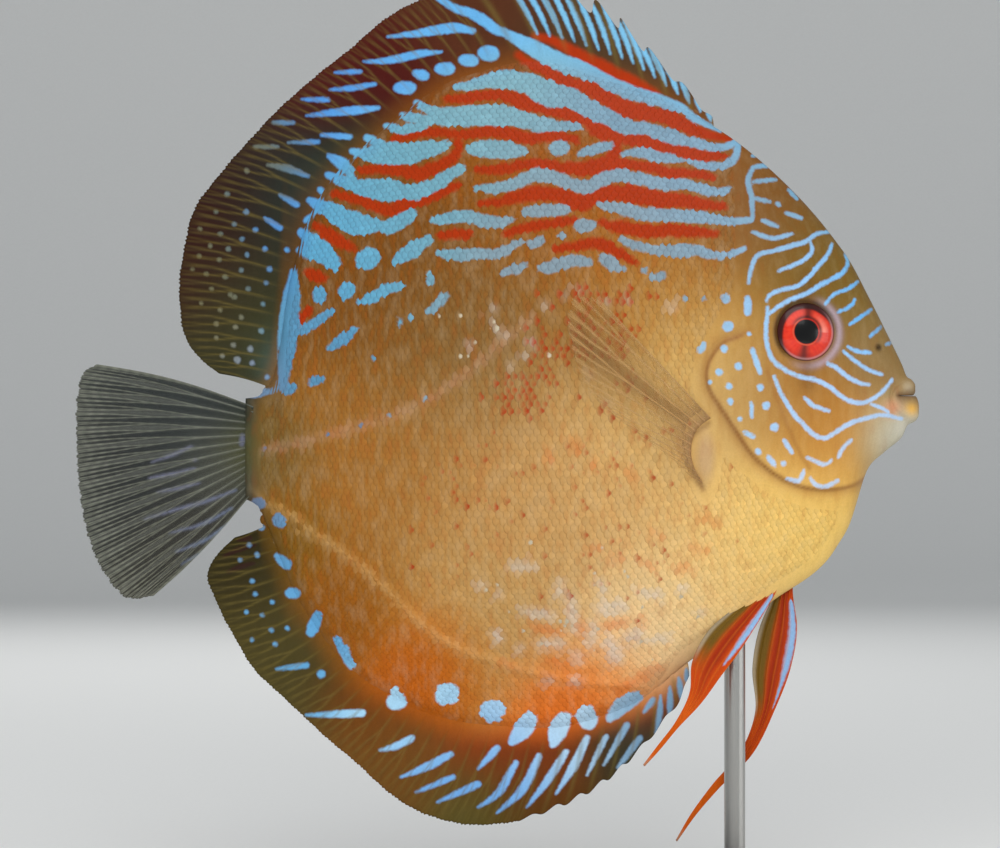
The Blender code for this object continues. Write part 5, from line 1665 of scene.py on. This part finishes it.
def long_fin(name, edge, ends, tips, share, spines, rays, notches, sway, nodes):
    """A fin on the middle plane, its root sunk into the body. The sheet sways by
    out² sin(run), and is pleated by a cosine of its rays."""
    run, pleats, lengths, ridge = long_fin_grid(share, spines, rays, notches)
    place = ray_places(edge_places(edge, ends, run, 1.2), along(tips, leaned(run)), lengths)
    lean = sway * lengths**2 * np.sin(run * 2.2 * np.pi + 0.6)[:, None]
    lean = lean + 0.08 * lengths * ease(lengths / 0.2) * np.cos(2 * np.pi * pleats)[:, None]
    x, z = place[..., 0], place[..., 1]
    half = half_thickness("long", lengths, ridge)
    made = closed_sheet(name, np.stack([x, lean, z], axis=-1), half)
    dashes = ease(0.5 - read_map(dash_map, x, z) / 0.4)
    fin_ground = tinted(whole_ground(x, z), 0.8 * dashes, DASH_PAINT)
    mark(made, doubled(x), doubled(z), doubled(fin_ground))
    pale = ridge * ease((lengths - 0.08) / 0.3) * ease((1.25 - lengths) / 0.6)
    give(made, "ridge", doubled(pale))
    made.data.materials.append(fin_paint)
    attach(made, "root")
    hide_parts(*nodes)
    print(name, 4 * half.size, "triangles")


long_fin("dorsal_fin", BACK_EDGE, DORSAL_ROOT, DORSAL_TIPS, DORSAL_SHARE, DORSAL_SPINES,
         DORSAL_RAYS, (0.34, 0.10), 1.2, ("dorsal_spiny", "dorsal_soft"))
long_fin("anal_fin", BELLY_EDGE, ANAL_ROOT, ANAL_TIPS, ANAL_SHARE, ANAL_SPINES, ANAL_RAYS,
         (0.13, 0.04), 1.0, ("anal_spiny", "anal_soft"))

# %% [markdown]
# The tail fin and the breast fins are nearly clear: a smoky sheet with pale, horny rays. Glass
# with thickness would bend what is behind it, and a real fin hardly does. So the sheet is thin
# paint whose alpha comes from a stored value, cover: nearly solid on a ray, thin between two.

# %% Finishes for the clear fins
# Smoked casting resin with pale rays: what is behind it only glimmers through.
tail_paint = painted("smoked_resin", soft=0.5, wobble=0.5, ridge_colour="8c8e80",
                     ridge_share=0.6, rough=0.4, covered=False)
# Clear casting resin with brown rays.
breast_paint = painted("clear_resin", soft=0.3, wobble=0.5, ridge_colour="b8905c",
                       ridge_share=0.8, rough=0.4, covered=False)


# %% The tail fin
TAIL_TIPS = [
    (-76.8, 11.4), (-79.4, 9.8), (-80.5, 6.0), (-80.8, -3.0), (-80.2, -12.0), (-78.4, -21.0),
    (-75.2, -28.4), (-70.6, -33.2), (-66.0, -32.8),
]
TAIL_RAYS, TAIL_STEPS, TAIL_ROWS = 16, 20, 80
TAIL_FORKS, BUNDLE_PAINT = (0.22, 0.48, 0.74), "8a8c80"
TAIL_MARGIN = FIN_RIM + 1.0


def tail_fin():
    """A fan from the upright end of the stalk, whose rays fork three times. It bows in
    height by sin(out) and sways by out² sin(across)."""
    across = np.linspace(0, 1, TAIL_RAYS * TAIL_STEPS)
    top = smooth(TAIL_ROOT_X, BACK_EDGE) - TAIL_MARGIN
    bottom = smooth(TAIL_ROOT_X, BELLY_EDGE) + TAIL_MARGIN
    root_x = np.full(len(across), TAIL_ROOT_X + 1.5)
    root = np.stack([root_x, top + across * (bottom - top)], axis=1)
    out = np.linspace(0, 1, TAIL_ROWS)[None, :]
    away = fork(across[:, None], out, TAIL_RAYS, TAIL_FORKS)
    ragged = 0.5 + 0.5 * uneven(across, TAIL_WAVES)
    reach = 1 - 0.008 * (away[:, -1] > 0.04) - 0.01 * ragged
    lengths = out * reach[:, None]
    pleats = across * (TAIL_RAYS - 1)
    place = fan(root, along(TAIL_TIPS, across), lengths)
    x, z = place[..., 0], place[..., 1]
    z = z + 2.2 * np.sin(np.pi * lengths) * (0.5 - across[:, None])
    lean = 1.6 * lengths**2 * np.sin(across * 2 * np.pi)[:, None]
    lean = lean + 0.14 * lengths * np.cos(2 * np.pi * pleats)[:, None]
    ridge = np.maximum(bell(away, ray_width("tail", lengths)), rim_rays(across))
    half = half_thickness("tail", lengths, ridge)
    made = closed_sheet("tail_fin", np.stack([x, lean, z], axis=-1), half)
    joints = 0.5 + 0.5 * np.sin(lengths * 95.0 + 3 * np.sin(across * 40)[:, None])
    ridge = ridge * (0.72 + 0.28 * joints)
    bundles = bell(np.sin(np.pi * pleats), 0.5)[:, None] * (1 - 0.4 * lengths)
    fin_ground = tinted(washed(x, z, TAIL_WASHES), 0.3 * bundles, BUNDLE_PAINT)
    mark(made, doubled(x), doubled(z), doubled(fin_ground))
    give(made, "ridge", doubled(ridge * (0.35 + 0.65 * lengths)))
    give(made, "cover", doubled(0.74 + 0.22 * np.maximum(ridge, np.exp(-lengths / 0.12))))
    made.data.materials.append(tail_paint)
    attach(made, "root")
    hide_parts("caudal_fin")
    print("tail_fin", 4 * half.size, "triangles")


tail_fin()

# %% The breast fins
PECTORAL_ROOTS = [(38.9, 1.1), (36.5, -0.8), (35.3, -4.0), (35.7, -7.8), (37.4, -11.0)]
PECTORAL_TIPS = [
    (18.4, 23.4), (13.7, 23.6), (12.5, 20.1), (12.9, 16.0), (13.9, 11.8), (15.6, 7.6),
    (18.2, 4.2), (22.4, 0.6), (27.2, -2.9), (32.3, -6.8), (35.4, -9.8),
]
BREAST_WASHES = {
    "root": (685, 450, 20, "a8825c"),
    "front": (625, 350, 30, "8a6a44"),
    "middle": (620, 390, 30, "a98656"),
    "rear": (640, 430, 30, "b08c5a"),
}
BREAST_RAYS, BREAST_STEPS, BREAST_ROWS = 12, 16, 56
BREAST_FORKS, DARK_RAY, DARK_RAY_PAINT = (0.5, 0.8), 0.24, "6e4a28"
BREAST_ROOT_SHIFT = np.array([0.5, 0.0])


def breast_fin(way, word):
    """A fan from behind the gill cover. It stands off the flank by a height that grows with
    out, so it floats free but for its fleshy root."""
    across = np.linspace(0, 1, BREAST_RAYS * BREAST_STEPS)
    root = along(PECTORAL_ROOTS, across) + BREAST_ROOT_SHIFT
    out = np.linspace(0, 1, BREAST_ROWS)[None, :]
    away = fork(across[:, None], out, BREAST_RAYS, BREAST_FORKS)
    ragged = 0.5 + 0.5 * uneven(across, BREAST_WAVES)
    reach = 1 - 0.012 * (away[:, -1] > 0.05) - 0.008 * ragged
    lengths = out * reach[:, None]
    place = fan(root, along(PECTORAL_TIPS, across), lengths)
    x, z = place[..., 0], place[..., 1]
    lift = 0.2 + 5.4 * lengths - 1.2 * np.exp(-lengths / 0.03)
    base = flank(x, z) + relief(x, z) * ease(1 - lengths / 0.25)
    ridge = np.maximum(bell(away, ray_width("breast", lengths)), rim_rays(across))
    half = half_thickness("breast", lengths, ridge)
    middle = np.stack([x, way * (base + lift), z], axis=-1)
    made = closed_sheet(f"breast_fin_{word}", middle, half)
    dark = bell(across[:, None] - DARK_RAY, 0.07) * ease(lengths / 0.2)
    fin_ground = tinted(washed(x, z, BREAST_WASHES), 0.55 * dark, DARK_RAY_PAINT)
    nowhere = np.full(2 * x.size, FAR)
    mark(made, doubled(x), doubled(z), doubled(fin_ground), nowhere, nowhere)
    give(made, "ridge", doubled(ridge * ease(lengths / 0.15)))
    cover = 0.08 + 0.42 * ridge * (1 - 0.4 * lengths) + 0.25 * dark
    give(made, "cover", doubled(cover + 0.7 * np.exp(-lengths / 0.06)))
    made.data.materials.append(breast_paint)
    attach(made, "root")
    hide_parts(f"pectoral_{word}")
    print(made.name, 4 * half.size, "triangles")


for way, word in SIDES:
    breast_fin(way, word)

# %% [markdown]
# The belly fins are narrow, with a light blue front edge and long orange rays that end in a
# thread. Their colours run along them, so they are painted by (across, out) and not by place.

# %% The belly fins: the leading and the trailing edge of each
BELLY_FINS = {
    "right": (
        [
            (52.8, -31.2), (48.8, -37.6), (44.8, -43.6), (42.0, -47.2), (37.8, -52.8),
            (33.4, -57.4), (30.0, -61.4), (27.2, -64.4),
        ],
        [
            (50.6, -30.2), (44.0, -35.0), (39.0, -39.6), (36.2, -45.2), (35.8, -50.4),
            (33.0, -56.2), (29.6, -60.6), (26.9, -64.1),
        ],
    ),
    "left": (
        [
            (55.4, -31.6), (56.6, -38.6), (55.4, -46.8), (52.6, -54.4), (48.4, -63.0),
            (41.6, -70.2), (37.4, -75.2), (34.0, -80.1),
        ],
        [
            (52.6, -31.6), (49.4, -39.2), (48.2, -46.6), (48.8, -55.0), (46.2, -62.4),
            (40.6, -69.2), (36.6, -74.8), (33.7, -79.9),
        ],
    ),
}
BELLY_RAYS, BELLY_STEPS, BELLY_ROWS, BELLY_FORKS = 6, 14, 120, (0.55,)
BELLY_START, BELLY_SPREAD, LEAST_HALF = 1.4, 6.5, 0.08
BELLY_ROOT_SHIFT = np.array([0.3, 1.6])
RAY_RED, EDGE_BLUE = "b4400c", "86aad0"
# The same varnished paint, without the long fins' olive.
belly_paint = painted("varnished_belly_fin_paint", soft=0.2, wobble=0.4, ridge_colour="d8701c",
                      ridge_share=0.3)


def belly_fin_paint(u, t, olive, thread):
    """The ground colour across (u) and out along (t) a belly fin, and the distance to its blue
    edge: a blue edge, a dark line, a red bundle of rays, an olive sheet and a pale hem."""
    deep = bell(u - 0.42, 0.16) * ease((0.7 - t) / 0.3)
    hem = ease((u - 0.86) / 0.1) * ease((0.5 - t) / 0.1)
    red = np.ones((u.size, t.size, 3)) * linear(hex_shares(RAY_RED))
    base = layered(red, [
        (0.9 * olive, "5c5018"),
        (0.85 * deep, "861e0c"),
        (0.8 * thread, "cc6016"),
        (0.7 * ease((t - 0.93) / 0.07), "b09a80"),
        (0.7 * hem, "a89a80"),
    ])
    blue_edge = 5.0 * (np.abs(u - 0.13) - 0.10 * ease((0.5 - t) / 0.3))
    return base, blue_edge + 6 * ease((t - 0.42) / 0.1) + 3 * ease((0.05 - t) / 0.05)


def belly_fin(way, word):
    """A narrow fan between a leading and a trailing edge, leaning outwards by out to 0.8,
    whose rays grow together into a thread."""
    across = np.linspace(0, 1, BELLY_RAYS * BELLY_STEPS)
    out = np.linspace(0, 1, BELLY_ROWS)
    sink = np.exp(-out / 0.02)[:, None] * BELLY_ROOT_SHIFT
    first, last = (along(line, out) + sink for line in BELLY_FINS[word])
    place = first[None] + across[:, None, None] * (last - first)[None]
    x, z = place[..., 0], place[..., 1]
    y = way * (BELLY_START + BELLY_SPREAD * out**0.8)[None, :] + 0 * x
    u, t = across[:, None], out[None, :]
    ridge = bell(fork(u, t, BELLY_RAYS, BELLY_FORKS), 0.16)
    thread = ease((t - 0.55) / 0.25)
    half = 0.16 + 0.26 * ridge * np.clip(1.12 - t, 0.12, 1) + 0.5 * np.exp(-t / 0.04)
    half = half + 0.8 * thread * (0.1 - 0.16 * (2 * u - 1) ** 2)
    middle = np.stack([x, y, z], axis=-1)
    made = closed_sheet(f"belly_fin_{word}", middle, np.maximum(half, LEAST_HALF))
    olive = ease((u - 0.52) / 0.2) * ease((0.55 - t) / 0.2)
    base, blue_edge = belly_fin_paint(u, t, olive, thread)
    light = np.ones((2 * x.size, 3)) * linear(hex_shares(EDGE_BLUE))
    mark(made, doubled(x), doubled(z), doubled(base), doubled(blue_edge),
         np.full(2 * x.size, FAR), light)
    give(made, "ridge", doubled(ridge * (1 - olive)))
    made.data.materials.append(belly_paint)
    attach(made, "root")
    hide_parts(f"pelvic_{word}")
    print(made.name, 4 * half.size, "triangles")


for way, word in SIDES:
    belly_fin(way, word)

# %% [markdown]
# ## Eyes
#
# A taxidermist's eye is a low dome of glass, painted behind. A clear dome over a painted disc
# traps the light of a soft lamp and looks grey, so the paint is put on the dome itself, under a
# hard coat that gives the glint. The dome is a profile turned round the eye's own axis: it
# swells to the middle and dips away under the rim of the skin.

# %% The glass eyes
EYE_RINGS, EYE_TURNS = 60, 96
EYE_BULGE, EYE_RIM_DROP, EYE_UNDER = 1.45, 0.45, 3.2
PUPIL_RADIUS, IRIS_RED = 2.42, "cc2410"
SLOPE_SPAN = 5.0


def eye_profile():
    """Radius and height of the dome: a cap that falls by (r/R)² to the rim, then a
    quarter ellipse that turns under it."""
    share = np.linspace(0.004, 1, EYE_RINGS)
    cap_r = EYE_RADIUS * share
    cap_h = -EYE_RIM_DROP + (EYE_BULGE + EYE_RIM_DROP) * (1 - share**2) ** 0.85
    turn = np.linspace(0, np.pi / 2, 16)[1:]
    under_r = EYE_RADIUS * np.cos(turn) * 0.999 + 0.004
    under_h = -EYE_RIM_DROP - EYE_UNDER * np.sin(turn)
    return np.concatenate([cap_r, under_r]), np.concatenate([cap_h, under_h])


# Glass eye: clear hard coat over paint.
glass_eye, tree, shader = new_finish(
    "painted_glass_eye",
    {"Roughness": 0.3, "IOR": 1.5, "Specular IOR Level": 0.2, "Coat Weight": 0.5,
     "Coat Roughness": 0.12},
)
iris = add(tree, "Attribute", attribute_name="iris").outputs["Color"]
tree.links.new(iris, shader.inputs["Base Color"])


def eye_paint(radius, turn):
    """Colour by the distance from the middle and the turn round it: black pupil, thin pale ring,
    red iris with fine spokes and a pink painted highlight on its right, a dark upright bar, and a
    dark rim that is widest above, where it is partly a painted shadow of the skin's rim."""
    waves = np.sin(turn * 46 + 3 * np.sin(turn * 7 + radius)) * np.sin(turn * 31 + 2 * radius)
    spokes = (0.5 + 0.5 * waves) * ease((radius - 2.4) / 1)
    # A painted highlight: a pink glint on the iris's right.
    painted_glint = bell(turn - 0.1, 0.75) * bell(radius - 3.4, 0.7)
    # The dark rim is widest above, where it is partly a painted shadow of the skin's rim over the eye.
    above = ease(0.5 + 0.8 * np.cos(turn - 2.0))
    dark = ease((radius - 5.0 + 0.95 * above) / 0.5)
    bar = bell(np.cos(turn + 0.12), 0.24) * ease((radius - 2.3) / 0.5)
    halo = bell(radius - 2.75, 0.34) * ease(0.6 + np.cos(turn - 0.9))
    ring = bell(radius - 2.5, 0.12) * ease(0.7 - np.cos(turn - 0.6))
    below = ease(0.4 + np.cos(turn + 0.9)) * bell(radius - 5.1, 0.22)
    red = np.ones((*radius.shape, 3)) * linear(hex_shares(IRIS_RED))
    return layered(red, [
        (0.35 * spokes, "ee4a1c"),
        (0.4 * ease((radius - 3.6) / 1.6), "a01408"),
        (0.55 * painted_glint, "f49a84"),
        (0.94 * dark, "140b0a"),
        (0.8 * bar, "240c08"),
        (0.75 * halo, "1c0c0a"),
        (0.5 * ring, "c06a44"),
        (0.5 * below, "c89a98"),
        (ease((PUPIL_RADIUS - radius) / 0.2), "050505"),
    ])


profile_r, profile_h = eye_profile()
turns = np.arange(EYE_TURNS) / EYE_TURNS * 2 * np.pi
radius, turn = np.meshgrid(profile_r, turns, indexing="ij")
off_x, off_z = radius * np.cos(turn), radius * np.sin(turn)
eye_x, eye_z = EYE_CENTRE[0] + off_x, EYE_CENTRE[1] + off_z
# The dome's own plane is the flank's there, from the flank's heights on four sides.
sides_x, sides_z = SLOPE_SPAN * np.array([[0, -1, 1, 0, 0], [0, 0, 0, -1, 1]])
eye_base, rear, front, low, high = flank(EYE_CENTRE[0] + sides_x, EYE_CENTRE[1] + sides_z)
slope_x, slope_z = (front - rear) / (2 * SLOPE_SPAN), (high - low) / (2 * SLOPE_SPAN)
eye_y = eye_base + slope_x * off_x + slope_z * off_z + profile_h[:, None]
iris_colours = eye_paint(radius, turn).reshape(-1, 3)
for way, word in SIDES:
    dome = np.stack([eye_x, way * eye_y, eye_z], axis=-1).reshape(-1, 3)
    places, faces = capped(dome, EYE_TURNS)
    if way < 0:
        faces = [each[:, ::-1] for each in faces]
    eye = mesh_piece(f"eyeball_{word}", places, *faces)
    give(eye, "iris", np.concatenate([iris_colours, iris_colours[[0, -1]]]))
    eye.data.materials.append(glass_eye)
    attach(eye, "root")
    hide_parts(f"eye_{word}")
print("eyes stand", EYE_BULGE, "mm off the cheek")

# %% [markdown]
# ## The stand
#
# The base and the rod keep their solid's own mesh, since their shape is right, and only get
# their finish. The wood's grain is stretched noise, with one growth ring about every 2 mm. The
# steel was brushed round the rod, so its scratches are noise squeezed along the rod's height.

# %% Stained wood and brushed steel
RING_SIZE, PORE_SIZE, SCRATCH_SIZE = 2.0, 0.35, 0.12
PORE_DEPTH, SCRATCH_DEPTH = 0.05, 0.01

# Beech stained nearly black and waxed: the grain still shows through the stain.
wood, tree, shader = new_finish(
    "stained_waxed_beech", {"Roughness": 0.42, "IOR": 1.5, "Coat Weight": 0.25}
)
place = add(tree, "TexCoord").outputs["Object"]
along_grain = add(tree, "Mapping", {"Vector": place, "Scale": (0.12, 1.0, 1.0)}).outputs[0]
growth = add(tree, "TexNoise", {"Vector": along_grain, "Scale": 1 / (2 * RING_SIZE * MM),
                                "Detail": 4.0, "Distortion": 0.6})
pores = add(tree, "TexNoise", {"Vector": along_grain, "Scale": 1 / (PORE_SIZE * MM), "Detail": 2.0})
stain = add(tree, "Mix", {0: growth.outputs[0], 6: colour("1d120c"), 7: colour("4a3020")},
            data_type="RGBA")
tree.links.new(stain.outputs[2], shader.inputs["Base Color"])
bump = add(tree, "Bump", {"Height": pores.outputs[0], "Strength": 0.4, "Distance": PORE_DEPTH * MM})
tree.links.new(bump.outputs["Normal"], shader.inputs["Normal"])

# Stainless steel, brushed round the rod: bright, with a long, soft glint.
steel, tree, shader = new_finish(
    "brushed_stainless_steel",
    {"Metallic": 1.0, "Roughness": 0.32, "Base Color": colour("b9b8b4")},
)
place = add(tree, "TexCoord").outputs["Object"]
squeezed = add(tree, "Mapping", {"Vector": place, "Scale": (0.08, 0.08, 1.0)}).outputs[0]
scratch = add(tree, "TexNoise", {"Vector": squeezed, "Scale": 1 / (SCRATCH_SIZE * MM),
                                 "Detail": 2.0})
bump = add(tree, "Bump", {"Height": scratch.outputs[0], "Strength": 0.25,
                          "Distance": SCRATCH_DEPTH * MM})
tree.links.new(bump.outputs["Normal"], shader.inputs["Normal"])
rougher = add(tree, "MapRange", {0: scratch.outputs[0], 3: 0.24, 4: 0.42})
tree.links.new(rougher.outputs[0], shader.inputs["Roughness"])

for node, metal_or_wood in (("stand_base", wood), ("stand_rod", steel)):
    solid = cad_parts[node]
    for k in range(len(solid.material_slots)):
        solid.material_slots[k].material = metal_or_wood
print("stand finished")
